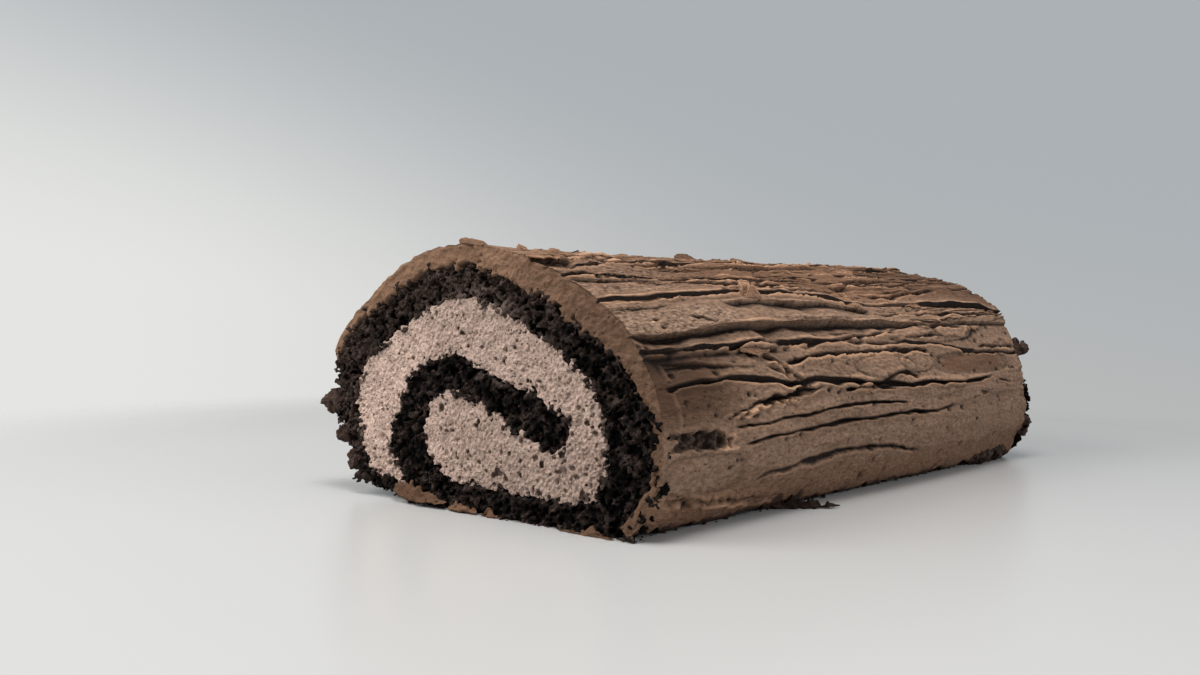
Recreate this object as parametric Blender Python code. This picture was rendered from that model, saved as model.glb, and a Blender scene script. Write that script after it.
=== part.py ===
"""A chocolate swiss roll: one sheet of dark sponge rolled round cream, under a coat of spread icing.

Sizes are in millimetres and are turned into metres when the meshes are made. The section lies in the
plane of Y (across the roll, positive away from the tall smooth flank) and Z (up). The roll runs along X.
"""

import math

import bpy
import numpy as np

MM = 0.001

# The roll as a whole
ROLL_LENGTH = 188.0
NEAR_CUT_SKEW = 9.5  # degrees, how far the near cut is turned from square to the roll
FAR_CUT_SKEW = 1.5
PIVOT_Y = 40.0  # the section widens about this line
WIDER_AT_FAR_END = 0.07
TALLER_AT_FAR_END = 0.085
SWELL_POWER = 1.5  # most of the swelling comes in the far half of the length
BOX_MIDDLE = (89.537, 36.76)  # X and Y of the middle of the roll's box, which becomes the origin

# The rolled sheet: its middle line as a chain of bends, from the outer end inwards.
# Each bend is (name, length along the sheet, turn in degrees, thickness of the sheet at its end).
SHEET_START = (61.0, 4.6)
SHEET_HEADING = 0.0
SHEET_START_THICKNESS = 2.0
SHEET_BENDS = (
    ("lip", 7.0, 4.0, 2.6),
    ("hem", 5.5, 58.0, 5.5),
    ("tail", 12.0, 7.0, 8.5),
    ("elbow", 20.0, 70.0, 10.0),
    ("left slope", 25.0, 20.0, 9.5),
    ("crown", 24.0, 39.0, 8.0),
    ("slope", 28.5, 26.0, 9.5),
    ("flank", 23.0, 50.0, 11.5),
    ("toe", 14.0, 82.0, 7.0),
    ("floor", 37.0, 6.0, 4.0),
    ("heel", 23.5, 98.0, 9.0),
    ("inner crown", 21.5, 100.0, 9.5),
    ("tongue", 31.0, 11.0, 9.5),
)
TIP_ROUNDING = 4.0
FLOOR_PRESS = 3.4  # how far the underside is pressed flat by the roll's own weight
LIP_PRESS = 1.2  # the outer end of the sheet hangs just clear of the floor
FLOOR_PRESS_FADES_AT = 9.0

# The coat of icing: (distance along the sheet, thickness there)
ICING_STARTS_AT = 36.5
ICING_ENDS_AT = 153.2
ICING_THICKNESS = (
    (36.5, 1.2),
    (41.0, 2.0),
    (53.0, 2.2),
    (66.0, 3.0),
    (94.0, 3.6),
    (122.0, 4.4),
    (132.0, 3.2),
    (141.0, 2.0),
    (148.0, 1.8),
    (153.2, 1.0),
)
ICING_THICKER_AT_FAR_END = 1.4  # over the slope, where the coat was piled up
ICING_SHORT_OF_FAR_CUT = 1.8
ICING_RAGGED_EDGE = 1.1
NEIGHBOUR_GAP = 0.3

# Long marks of the spatula in the icing:
# (distance along the sheet at the near end, half way and at the far end, starts at X, ends at X, width,
#  height or depth)
SPATULA_MARKS = (
    ("crest", 82.0, 83.0, 84.0, 55.0, 150.0, 3.2, 0.7),
    ("crest groove", 91.5, 88.5, 86.0, 35.0, 160.0, 2.6, -1.0),
    ("torn pockets", 98.5, 94.5, 92.0, -22.0, 58.0, 4.0, -1.6),
    ("upper ridge", 102.0, 100.0, 100.5, -5.0, 190.0, 3.4, 0.9),
    ("top furrow", 98.5, 94.5, 90.0, 50.0, 140.0, 2.8, -1.2),
    ("far furrow", 103.5, 103.6, 104.2, 100.0, 184.0, 2.6, -1.1),
    ("upper crack", 106.4, 105.3, 105.0, -14.0, 84.0, 2.6, -1.0),
    ("great lip", 112.6, 109.4, 115.5, -4.0, 186.0, 2.8, 1.1),
    ("great crack", 115.2, 112.4, 119.0, -8.0, 192.0, 3.0, -1.7),
    ("shelf edge", 122.4, 119.9, 121.4, 0.0, 190.0, 3.0, 1.1),
    ("second crack", 126.6, 125.6, 129.4, -4.0, 190.0, 2.8, -1.5),
    ("long groove", 131.8, 134.0, 134.8, 3.0, 172.0, 2.6, -1.3),
    ("straight crack", 142.4, 140.4, 139.6, 24.0, 142.0, 2.6, -1.2),
    ("low lip", 144.6, 142.8, 142.0, 24.0, 142.0, 2.6, 0.7),
    ("left ridge", 62.0, 63.0, 64.0, 5.0, 180.0, 4.0, 0.7),
    ("left groove", 72.4, 71.6, 70.0, -6.0, 176.0, 2.8, -1.1),
)

# Crumbs and flakes that stand out far enough to count in the outline. Each sits on the outer face:
# (name, distance along the sheet, X, height of its middle over the face,
#  half lengths along the roll, round the roll and outwards)
SPONGE_CRUMBS = (
    ("cheek crumb", 28.5, -11.0, 2.0, 3.0, 2.9, 4.6),
    ("under crumb", 21.5, -10.0, 1.2, 3.4, 2.6, 3.4),
    ("hem crumb", 14.5, -9.0, 0.8, 3.2, 2.4, 2.8),
    ("side crumb", 30.0, 22.0, 0.4, 5.0, 3.6, 2.6),
    ("middle crumb", 25.0, 68.0, 0.4, 6.0, 3.4, 2.8),
    ("long crumb", 31.0, 112.0, 0.4, 7.5, 3.2, 2.6),
    ("far side crumb", 26.0, 158.0, 0.4, 5.5, 3.8, 3.0),
    ("far shoulder crumb", 112.0, 189.0, 0.6, 1.9, 3.4, 3.4),
    ("far upper crumb", 120.0, 189.2, 0.8, 2.1, 2.8, 3.6),
    ("far edge crumb", 129.0, 189.8, 1.6, 2.7, 3.0, 4.6),
    ("far low crumb", 148.0, 189.2, 0.4, 2.0, 3.6, 2.9),
)
ICING_FLAKES = (
    ("near flake", 81.0, -6.0, 3.3, 2.2, 1.6, 1.3),
    ("crest flake", 85.0, 15.0, 3.8, 3.0, 1.2, 1.5),
    ("tall flake", 80.0, 74.0, 4.8, 5.0, 1.6, 2.0),
    ("long flake", 82.0, 88.0, 4.6, 8.0, 1.5, 1.4),
    ("hooked flap", 112.0, 69.0, 5.0, 4.6, 1.8, 1.6),
)

# How finely each node is divided
SHEET_STEP = 4.0
SHEET_STATIONS = 12
ICING_STEP = 2.5
ICING_STATIONS = 34
CRUMB_FACES = 2

SPONGE_COLOUR = (0.022, 0.012, 0.009, 1.0)
CREAM_COLOUR = (0.42, 0.27, 0.22, 1.0)
ICING_COLOUR = (0.17, 0.085, 0.052, 1.0)


def eased(share):
    """A smooth rise from 0 to 1."""
    share = min(1.0, max(0.0, share))
    return share * share * (3.0 - 2.0 * share)


def between(table, at):
    """The value at a place in a table of (place, value) rows."""
    places = [row[0] for row in table]
    values = [row[1] for row in table]
    return float(np.interp(at, places, values))


def sheet_line(step=0.25):
    """The sheet's middle line: rows of distance along it, Y, Z, heading and thickness."""
    y, z = SHEET_START
    heading = math.radians(SHEET_HEADING)
    thickness = SHEET_START_THICKNESS
    distance = 0.0
    rows = [(distance, y, z, heading, thickness)]
    for _, length, turn, end_thickness in SHEET_BENDS:
        count = int(round(length / step))
        for index in range(1, count + 1):
            half_turn = math.radians(turn) / count / 2.0
            heading += half_turn
            y += math.cos(heading) * length / count
            z += math.sin(heading) * length / count
            heading += half_turn
            distance += length / count
            grown = thickness + (end_thickness - thickness) * eased(index / count)
            rows.append((distance, y, z, heading, grown))
        thickness = end_thickness
    return np.array(rows)


SHEET_LINE = sheet_line()
SHEET_LENGTH = float(SHEET_LINE[-1, 0])


def sheet_at(distance):
    """Y, Z, heading and thickness of the sheet at a distance along it."""
    return tuple(float(np.interp(distance, SHEET_LINE[:, 0], SHEET_LINE[:, k])) for k in range(1, 5))


def pressed(z, press):
    """A height on the underside after the roll's weight has pressed it flat."""
    fade = 1.0 - eased((z - press) / (FLOOR_PRESS_FADES_AT - press))
    return max(0.0, z - press * fade)


def face_point(distance, side, beyond=0.0):
    """A point of the section on the sheet's inner (side +1) or outer (side -1) face, or beyond it."""
    y, z, heading, thickness = sheet_at(distance)
    to_tip = SHEET_LENGTH - distance
    if to_tip < TIP_ROUNDING:
        thickness *= math.sqrt(max(0.12, 1.0 - (1.0 - to_tip / TIP_ROUNDING) ** 2))
    reach = side * (thickness / 2.0 + beyond)
    y -= math.sin(heading) * reach
    z += math.cos(heading) * reach
    if side < 0:
        z = pressed(z, LIP_PRESS if distance < 60.0 else FLOOR_PRESS)
    return y, z


def placed(y, z, share):
    """The place in the roll of a section point, at a share of the way from the near cut to the far cut."""
    near = -y * math.tan(math.radians(NEAR_CUT_SKEW))
    far = ROLL_LENGTH - y * math.tan(math.radians(FAR_CUT_SKEW))
    x = near + (far - near) * share
    along = min(1.0, max(0.0, x / ROLL_LENGTH))
    swollen = along**SWELL_POWER
    wide = PIVOT_Y + (y - PIVOT_Y) * (1.0 + WIDER_AT_FAR_END * swollen)
    return x, wide, z * (1.0 + TALLER_AT_FAR_END * swollen)


def share_at(y, x):
    """The share of the way from the near cut to the far cut at which a section point reaches X."""
    near = -y * math.tan(math.radians(NEAR_CUT_SKEW))
    far = ROLL_LENGTH - y * math.tan(math.radians(FAR_CUT_SKEW))
    return (x - near) / (far - near)


def outside_point(distance, x, beyond):
    """A place of the roll over the sheet's outer face, given as a distance along the sheet and an X."""
    y, z = face_point(distance, -1.0, beyond)
    return placed(y, z, share_at(y, x))


def sheet_distances(start, end, step):
    """Evenly spaced distances along the sheet."""
    count = max(2, int(round((end - start) / step)))
    return [start + (end - start) * index / count for index in range(count + 1)]


def sponge_section():
    """The closed outline of the sponge: up its inner face and back down its outer face."""
    distances = sheet_distances(0.0, SHEET_LENGTH, SHEET_STEP)
    inner = [face_point(distance, 1.0) for distance in distances]
    outer = [face_point(distance, -1.0) for distance in distances]
    return inner, outer


def heel_distance():
    """How far along the sheet the inner coil leaves the cream and turns under the roll."""
    distances = sheet_distances(0.0, SHEET_LENGTH, SHEET_STEP)
    heel_start = sum(row[1] for row in SHEET_BENDS[:10])
    for distance in distances:
        if distance > heel_start and face_point(distance, -1.0)[1] > 4.2:
            return distance
    return heel_start


def cream_section():
    """The closed outline of the cream: the inner face to the tip, and back along the inner coil."""
    distances = sheet_distances(0.0, SHEET_LENGTH, SHEET_STEP)
    heel = heel_distance()
    inside = [face_point(distance, 1.0, NEIGHBOUR_GAP) for distance in distances]
    back = [face_point(distance, -1.0, NEIGHBOUR_GAP) for distance in distances if distance >= heel]
    y, z, heading, _ = sheet_at(SHEET_LENGTH)
    tip = (y + math.cos(heading) * NEIGHBOUR_GAP * 1.6, z + math.sin(heading) * NEIGHBOUR_GAP * 1.6)
    inside[0] = (inside[0][0] - 0.4, inside[0][1])
    return inside + [tip] + back[::-1]


def mark_height(distance, x):
    """How far the spatula's long marks lift or sink the icing at a place."""
    height = 0.0
    for _, near_at, middle_at, far_at, starts, ends, width, lift in SPATULA_MARKS:
        along = eased((x - starts) / 14.0) * eased((ends - x) / 18.0)
        if along > 0.0:
            share = x / ROLL_LENGTH
            bow = middle_at - (near_at + far_at) / 2.0
            centre = near_at + (far_at - near_at) * share + 4.0 * bow * share * (1.0 - share)
            off = (distance - centre) / width
            height += lift * along * math.exp(-2.2 * off * off)
    return height


def icing_relief(distance, x):
    """The icing's relief, faded out at its two edges."""
    rise = eased((distance - ICING_STARTS_AT) / 7.0) * eased((ICING_ENDS_AT - distance) / 6.0)
    waves = 0.35 * math.sin(x / 31.0 + distance / 9.0) + 0.25 * math.sin(x / 17.0 - distance / 6.0)
    piled = math.exp(-(((distance - 108.0) / 16.0) ** 2)) * eased((x - 90.0) / 90.0)
    return rise * (mark_height(distance, x) + waves + ICING_THICKER_AT_FAR_END * piled)


def material(name, colour, roughness):
    """A plain Principled material."""
    made = bpy.data.materials.new(name)
    made.use_nodes = True
    shader = made.node_tree.nodes["Principled BSDF"]
    shader.inputs["Base Color"].default_value = colour
    shader.inputs["Roughness"].default_value = roughness
    made.diffuse_color = colour
    return made


def mesh_object(name, points, faces, look=None):
    """An object from points in millimetres, moved so that the roll's box stands on the origin."""
    shifted = [((x - BOX_MIDDLE[0]) * MM, (y - BOX_MIDDLE[1]) * MM, z * MM) for x, y, z in points]
    mesh = bpy.data.meshes.new(name)
    mesh.from_pydata(shifted, [], faces)
    mesh.validate()
    mesh.update()
    if look is not None:
        mesh.materials.append(look)
    made = bpy.data.objects.new(name, mesh)
    bpy.context.scene.collection.objects.link(made)
    return made


def ring_walls(ring_size, ring_count):
    """Quads between neighbouring rings of points."""
    faces = []
    for ring in range(ring_count - 1):
        for index in range(ring_size):
            following = (index + 1) % ring_size
            first = ring * ring_size
            second = first + ring_size
            faces.append((first + index, first + following, second + following, second + index))
    return faces


def sponge_object(look):
    """The rolled sheet of sponge, its ends closed strip by strip along the sheet."""
    inner, outer = sponge_section()
    section = inner + outer[::-1]
    size = len(section)
    points = []
    for station in range(SHEET_STATIONS):
        share = station / (SHEET_STATIONS - 1)
        points += [placed(y, z, share) for y, z in section]
    faces = ring_walls(size, SHEET_STATIONS)
    last = (SHEET_STATIONS - 1) * size
    for index in range(len(inner) - 1):
        opposite = size - 1 - index
        faces.append((index, opposite, opposite - 1, index + 1))
        faces.append((last + index, last + index + 1, last + opposite - 1, last + opposite))
    return mesh_object("sponge", points, faces, look)


def cream_object(look):
    """The cream between the coils, its ends filled as flat polygons."""
    section = cream_section()
    size = len(section)
    points = []
    for station in range(SHEET_STATIONS):
        share = station / (SHEET_STATIONS - 1)
        points += [placed(y, z, share) for y, z in section]
    faces = ring_walls(size, SHEET_STATIONS)
    last = (SHEET_STATIONS - 1) * size
    faces.append(tuple(range(size - 1, -1, -1)))
    faces.append(tuple(range(last, last + size)))
    return mesh_object("cream", points, faces, look)


def icing_edges(x):
    """Where the ragged upper and lower edges of the icing lie along the sheet."""
    upper = ICING_STARTS_AT + ICING_RAGGED_EDGE * (0.6 + 0.6 * math.sin(x / 13.0) * math.sin(x / 5.3 + 1.0))
    lower = ICING_ENDS_AT - ICING_RAGGED_EDGE * (0.8 + 0.8 * math.sin(x / 11.0 + 2.0) * math.sin(x / 6.1))
    return upper, lower


def icing_object(look):
    """The coat of icing: an inner face that follows the sponge and an outer face with the spatula's marks."""
    count = int(round((ICING_ENDS_AT - ICING_STARTS_AT) / ICING_STEP)) + 1
    full_share = 1.0 - ICING_SHORT_OF_FAR_CUT / ROLL_LENGTH
    points = []
    for station in range(ICING_STATIONS):
        share = full_share * station / (ICING_STATIONS - 1)
        upper, lower = icing_edges(share * ROLL_LENGTH)
        distances = [upper + (lower - upper) * index / (count - 1) for index in range(count)]
        for distance in distances:
            y, z = face_point(distance, -1.0, NEIGHBOUR_GAP + 0.05)
            points.append(placed(y, z, share))
        for distance in reversed(distances):
            thickness = between(ICING_THICKNESS, distance)
            y, z = face_point(distance, -1.0, NEIGHBOUR_GAP + thickness)
            x = placed(y, z, share)[0]
            lift = max(icing_relief(distance, x), 0.7 - thickness)
            y, z = face_point(distance, -1.0, NEIGHBOUR_GAP + thickness + lift)
            points.append(placed(y, z, share))
    size = 2 * count
    faces = ring_walls(size, ICING_STATIONS)
    last = (ICING_STATIONS - 1) * size
    for index in range(count - 1):
        opposite = size - 1 - index
        faces.append((index, opposite, opposite - 1, index + 1))
        faces.append((last + index, last + index + 1, last + opposite - 1, last + opposite))
    return mesh_object("icing", points, faces, look)


def crumb_points(ball_points, row, number):
    """A craggy lump: a ball pushed in and out by sines, stretched and laid along the outer face."""
    _, distance, x, over, along, around, outwards = row
    middle = np.array(outside_point(distance, x, over))
    out = np.array(outside_point(distance, x, over + 1.0)) - middle
    out /= np.linalg.norm(out)
    lengthwise = np.array((1.0, 0.0, 0.0))
    lengthwise -= out * out[0]
    lengthwise /= np.linalg.norm(lengthwise)
    crosswise = np.cross(out, lengthwise)
    made = []
    for px, py, pz in ball_points:
        crag = 1.0 + 0.16 * math.sin(7.0 * px + 3.0 * py + number) + 0.12 * math.sin(9.0 * pz - 5.0 * py)
        offset = lengthwise * px * along + crosswise * py * around + out * pz * outwards
        made.append(tuple(middle + offset * crag))
    return made


def ball():
    """The points and faces of a small ball."""
    import bmesh

    made = bmesh.new()
    bmesh.ops.create_icosphere(made, subdivisions=CRUMB_FACES, radius=1.0)
    points = [tuple(corner.co) for corner in made.verts]
    faces = [tuple(corner.index for corner in face.verts) for face in made.faces]
    made.free()
    return points, faces


def fuse(body, rows):
    """Joins lumps to a body with Boolean unions."""
    points, faces = ball()
    for number, row in enumerate(rows):
        lump = mesh_object(body.name + "_lump_" + str(number), crumb_points(points, row, number), faces)
        lump.hide_render = True
        lump.display_type = "WIRE"
        join = body.modifiers.new("fuse_" + str(number), "BOOLEAN")
        join.operation = "UNION"
        join.solver = "EXACT"
        join.object = lump


def build():
    """Clears the file and builds the roll."""
    for old in list(bpy.data.objects):
        bpy.data.objects.remove(old, do_unlink=True)
    sponge = sponge_object(material("dark_sponge", SPONGE_COLOUR, 0.9))
    cream_object(material("cocoa_cream", CREAM_COLOUR, 0.6))
    icing = icing_object(material("chocolate_icing", ICING_COLOUR, 0.65))
    fuse(sponge, SPONGE_CRUMBS)
    fuse(icing, ICING_FLAKES)


build()
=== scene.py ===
"""A chocolate swiss roll, dressed: dark sponge rolled round cocoa cream, under a torn coat of icing.

Lengths are in millimetres until a mesh is made. The section lies in Y (across the roll) and Z (up), and the
roll runs along X. A place on the roll is given as a distance along the rolled sheet and an X.
"""

import logging
import math
from dataclasses import dataclass, field
from enum import Enum
from functools import cached_property, reduce
from typing import Sequence, Union

import bmesh
import bpy
import numpy as np
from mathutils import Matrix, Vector


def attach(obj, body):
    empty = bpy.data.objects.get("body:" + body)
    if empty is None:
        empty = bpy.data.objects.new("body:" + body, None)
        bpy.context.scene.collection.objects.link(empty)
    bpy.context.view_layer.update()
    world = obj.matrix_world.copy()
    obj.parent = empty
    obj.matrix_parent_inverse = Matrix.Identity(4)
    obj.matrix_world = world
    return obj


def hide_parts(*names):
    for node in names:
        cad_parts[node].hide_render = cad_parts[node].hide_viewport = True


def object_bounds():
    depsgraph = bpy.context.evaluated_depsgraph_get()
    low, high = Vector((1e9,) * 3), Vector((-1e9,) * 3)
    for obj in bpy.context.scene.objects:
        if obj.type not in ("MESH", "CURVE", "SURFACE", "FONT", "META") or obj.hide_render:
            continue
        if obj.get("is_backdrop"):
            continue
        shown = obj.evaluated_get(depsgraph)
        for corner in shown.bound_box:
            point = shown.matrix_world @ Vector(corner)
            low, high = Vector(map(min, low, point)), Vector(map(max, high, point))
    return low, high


LOG = logging.getLogger("swiss_roll")
MM = 0.001
Array = np.ndarray
Colour = Place = tuple[float, float, float]
Pair = tuple[float, float]
Knots = tuple[Pair, ...]
Tree = bpy.types.NodeTree
Socket = bpy.types.NodeSocket
Value = Union[Socket, float, tuple[float, ...]]
UV_START, UV_SPAN = 0.004, 0.992  # where a flat map lies in its square
NO_LENGTH, FAR_AWAY = 1e-9, 1e9
WHOLE_TURN = 6.2832  # a hair over a whole turn, so that a flat map wound round a ball stays inside its square
NOISES = 9973  # how many noises the names of the strokes pick from
UNDER_TABLE = -0.5  # the value of an empty cell under the table top

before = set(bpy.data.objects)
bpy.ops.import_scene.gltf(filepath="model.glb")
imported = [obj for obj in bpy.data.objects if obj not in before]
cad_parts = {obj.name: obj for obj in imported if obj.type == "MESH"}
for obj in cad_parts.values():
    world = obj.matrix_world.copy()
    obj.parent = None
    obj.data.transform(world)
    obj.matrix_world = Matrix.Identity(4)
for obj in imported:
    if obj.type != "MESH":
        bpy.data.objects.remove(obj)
CAD_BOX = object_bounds()


# ---------------------------------------------------------------- shapes


def eased(share: Array) -> Array:
    """A smooth rise from 0 to 1."""
    share = np.clip(share, 0.0, 1.0)
    return share * share * (3.0 - 2.0 * share)


def window(at: Array, start: float, end: float, fade_in: float, fade_out: float) -> Array:
    """1 between two places and 0 outside them, with eased ends."""
    return eased((at - start) / fade_in) * eased((end - at) / fade_out)


def shares(values: Array) -> Array:
    """Values kept between 0 and 1."""
    return np.clip(values, 0.0, 1.0)


def bell(at: Array, width: float) -> Array:
    """A rounded bump of height 1 about 0."""
    return np.exp(-((at / width) ** 2))


def noise(axes: Sequence[Array], seed: int) -> Array:
    """Smooth noise between about -1 and 1 on a regular grid.

    Args:
        axes: for each axis of the grid, the places of its points in units of the noise's own scale.
        seed: which noise.

    Returns:
        One value for each point of the grid.
    """
    chance = np.random.default_rng(seed)
    firsts = [int(math.floor(float(axis.min()))) - 1 for axis in axes]
    sizes = [int(math.floor(float(axis.max()))) - first + 4 for axis, first in zip(axes, firsts)]
    made = chance.uniform(-1.0, 1.0, sizes).astype(np.float32)
    for number, (axis, first) in enumerate(zip(axes, firsts)):
        whole = np.floor(axis)
        part = (axis - whole).astype(np.float32)
        index = (whole - first).astype(int)
        weights = (
            ((2.0 - part) * part - 1.0) * part / 2.0,
            ((3.0 * part - 5.0) * part * part + 2.0) / 2.0,
            ((4.0 - 3.0 * part) * part + 1.0) * part / 2.0,
            (part - 1.0) * part * part / 2.0,
        )
        shape = [1] * made.ndim
        shape[number] = len(part)
        total = 0.0
        for step, weight in enumerate(weights):
            total = total + np.take(made, index + step - 1, axis=number) * weight.reshape(shape)
        made = total
    return 1.5 * made


def curve_through(knots: Knots, at: Array) -> Array:
    """The height at each place of a smooth curve through (place, height) knots, level beyond its ends."""
    places = np.array([knot[0] for knot in knots], float)
    heights = np.array([knot[1] for knot in knots], float)
    if len(knots) == 1:
        return np.full_like(at, heights[0], dtype=float)
    slopes = np.gradient(heights, places)
    slopes[0] = slopes[-1] = 0.0
    clipped = np.clip(at, places[0], places[-1])
    index = np.clip(np.searchsorted(places, clipped) - 1, 0, len(places) - 2)
    length = places[index + 1] - places[index]
    share = (clipped - places[index]) / length
    square, cube = share**2, share**3
    rise = 3 * square - 2 * cube
    start = heights[index] * (1 - rise) + slopes[index] * length * (cube - 2 * square + share)
    return start + heights[index + 1] * rise + slopes[index + 1] * length * (cube - square)


def along_knots(knots: Knots, at: Array) -> Array:
    """Straight lines between (place, value) knots."""
    return np.interp(at, [knot[0] for knot in knots], [knot[1] for knot in knots])


def on_table(points: Array, lowest: float = 0.0) -> Array:
    """Points with none of them below the table top."""
    points[..., 2] = np.maximum(points[..., 2], lowest)
    return points


def read_between(values: Array, place: Array) -> Array:
    """The values of each row at fractional places of its columns."""
    place = np.clip(place, 0.0, values.shape[1] - 1.001)
    low = place.astype(int)
    part = place - low
    rows = np.arange(len(values))[:, None]
    return values[rows, low] * (1.0 - part) + values[rows, low + 1] * part


def softened(values: Array, rows: int, columns: int) -> Array:
    """A grid's values, each averaged with its neighbours up to so many rows and columns away."""
    for axis, reach in ((0, rows), (1, columns)):
        wide = [(reach + 1, reach) if k == axis else (0, 0) for k in (0, 1)]
        total = np.cumsum(np.pad(values, wide, mode="edge"), axis=axis)
        size = 2 * reach + 1
        count = total.shape[axis]
        ends = np.take(total, np.arange(size, count), axis=axis)
        values = (ends - np.take(total, np.arange(0, count - size), axis=axis)) / size
    return values


@dataclass(frozen=True)
class Net:
    """A grid of rows, each at a distance along the sheet, and columns, each at an X."""

    at: Array
    x: Array

    def noise(self, rows: float, columns: float, seed: int) -> Array:
        """Smooth noise over the grid, at a scale for its rows and one for its columns."""
        return noise([self.at / rows, self.x / columns], seed)

    def mixed(self, seed: int, *parts: tuple[float, float, float]) -> Array:
        """Several noises as one, each given by its height and its scales for the rows and the columns."""
        return sum(height * self.noise(*scales, seed + k) for k, (height, *scales) in enumerate(parts))

    def rows(self, start: float, end: float, fade_in: float, fade_out: float) -> Array:
        """A window over the rows."""
        return window(self.at, start, end, fade_in, fade_out)[:, None]


@dataclass(frozen=True)
class SheetPath:
    """The middle line of the rolled sheet in the section, as a chain of bends from the outer end inwards."""

    start: Pair = (61.0, 4.6)
    start_thickness: float = 2.0
    # each bend is (length along the sheet, turn in degrees, thickness of the sheet at its end)
    bends: tuple[tuple[float, float, float], ...] = (
        (7, 4, 2.6), (5.5, 58, 5.5), (12, 7, 8.5), (20, 70, 10), (25, 20, 9.5), (24, 39, 8), (28.5, 26, 9.5),
        (23, 50, 11.5), (14, 82, 7), (37, 6, 4), (23.5, 98, 9), (21.5, 100, 9.5), (31, 11, 9.5),
    )
    heel_bend: int = 10  # how many bends come before the inner coil
    tip_rounding: float = 4.0
    lip_press: Pair = (1.2, 60.0)  # of the outer end, and how far along the sheet it reaches
    floor_press: float = 3.4
    press_fades_at: float = 9.0
    # how much further out than the plain sheet its crumb lies, and how much of it the icing's band covers
    inner_shape: Knots = (
        (84, 0), (92, 1.4), (106, 1.8), (116, 0.5), (124, 0), (148, 0), (154, -1.2), (159, -3), (164, -3.4),
        (171, -2.5), (179, -1.6), (189, -0.6), (198, 0),
    )
    outer_shape: Knots = (
        (9, 0), (12.5, -0.8), (15.3, -2.8), (17.2, -0.6), (19.6, -1.6), (22.4, -4), (24.6, -0.4), (28, 0.4),
        (34, 0), (130, 0), (138, 0.8), (146, 1.5), (151, 1.3), (155, 0), (196, 0), (201, 1.2), (205, 3),
        (209, 3.8), (214, 3.7), (217.5, 1.2), (221, 0), (228, -0.3), (234, -1.6), (240, -1.1), (246, -1.6),
        (251, -1.5), (256, -0.6), (261, 0),
    )
    covered: Knots = (
        (40, 0.2), (50, 0.9), (78, 1.2), (86, 2.4), (116, 2.7), (126, 1.3), (133, 0.4), (138, 0),
    )

    @cached_property
    def rows(self) -> Array:
        """Rows of distance along the line, Y, Z, heading and thickness."""
        step = 0.25
        y, z = self.start
        heading = distance = 0.0
        thickness = self.start_thickness
        rows = [(distance, y, z, heading, thickness)]
        for length, turn, end_thickness in self.bends:
            count = int(round(length / step))
            half_turn = math.radians(turn) / count / 2.0
            for index in range(1, count + 1):
                heading += half_turn
                y += math.cos(heading) * length / count
                z += math.sin(heading) * length / count
                heading += half_turn
                distance += length / count
                grown = thickness + (end_thickness - thickness) * float(eased(np.float64(index / count)))
                rows.append((distance, y, z, heading, grown))
            thickness = end_thickness
        return np.array(rows)

    @property
    def length(self) -> float:
        """The whole length of the sheet."""
        return float(self.rows[-1, 0])

    def at(self, distance: Array) -> tuple[Array, Array, Array, Array]:
        """Y, Z, heading and thickness at distances along the sheet."""
        rows = self.rows
        return tuple(np.interp(distance, rows[:, 0], rows[:, k]) for k in range(1, 5))

    def pressed(self, z: Array, distance: Array) -> Array:
        """A height on the underside after the roll's weight has pressed it flat."""
        press = np.where(distance < self.lip_press[1], self.lip_press[0], self.floor_press)
        return np.maximum(0.0, z - press * (1.0 - eased((z - press) / (self.press_fades_at - press))))

    def face(self, distance: Array, side: float, beyond: Array) -> tuple[Array, Array]:
        """Points of the section on the sheet's inner (side +1) or outer (side -1) face, or beyond it."""
        y, z, heading, thickness = self.at(distance)
        to_tip = self.length - distance
        rounded = np.sqrt(np.maximum(0.12, 1.0 - (1.0 - to_tip / self.tip_rounding) ** 2))
        thickness = np.where(to_tip < self.tip_rounding, thickness * rounded, thickness)
        reach = side * (thickness / 2.0 + beyond)
        y, z = y - np.sin(heading) * reach, z + np.cos(heading) * reach
        return y, self.pressed(z, distance) if side < 0 else z

    def spread(self, start: float, end: float, step: float) -> Array:
        """Evenly spaced distances along the sheet."""
        return np.linspace(start, end, max(2, int(round((end - start) / step))) + 1)

    def sponge_outline(self, step: float, grown: float = 0.0, bare: bool = False) -> Array:
        """The closed outline of the sponge, up its inner face and back down its outer face.

        Args:
            step: how far apart its points are.
            grown: how far it is let out.
            bare: whether what the icing's band covers is left out.

        Returns:
            The outline's Y and Z.
        """
        distances = self.spread(0.0, self.length, step)
        out = grown + along_knots(self.outer_shape, distances) - bare * along_knots(self.covered, distances)
        inner = np.stack(self.face(distances, 1.0, grown + along_knots(self.inner_shape, distances)), -1)
        outer = np.stack(self.face(distances, -1.0, out), -1)
        return np.concatenate([inner, outer[::-1]])

    def cream_outline(self, step: float, gap: float = 0.3) -> Array:
        """The closed outline of the cream, from the inner face to the tip and back along the inner coil."""
        distances = self.spread(0.0, self.length, step)
        heel_start = sum(bend[0] for bend in self.bends[: self.heel_bend])
        back = np.stack(self.face(distances, -1.0, gap + along_knots(self.outer_shape, distances)), -1)
        kept = (distances > heel_start) & (back[:, 1] > 3.6)
        inside = np.stack(self.face(distances, 1.0, gap + along_knots(self.inner_shape, distances)), -1)
        y, z, heading, _ = self.at(np.array(self.length))
        tip = np.array([[y + math.cos(heading) * gap * 1.6, z + math.sin(heading) * gap * 1.6]])
        return np.concatenate([inside, tip, back[kept][::-1]])


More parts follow.
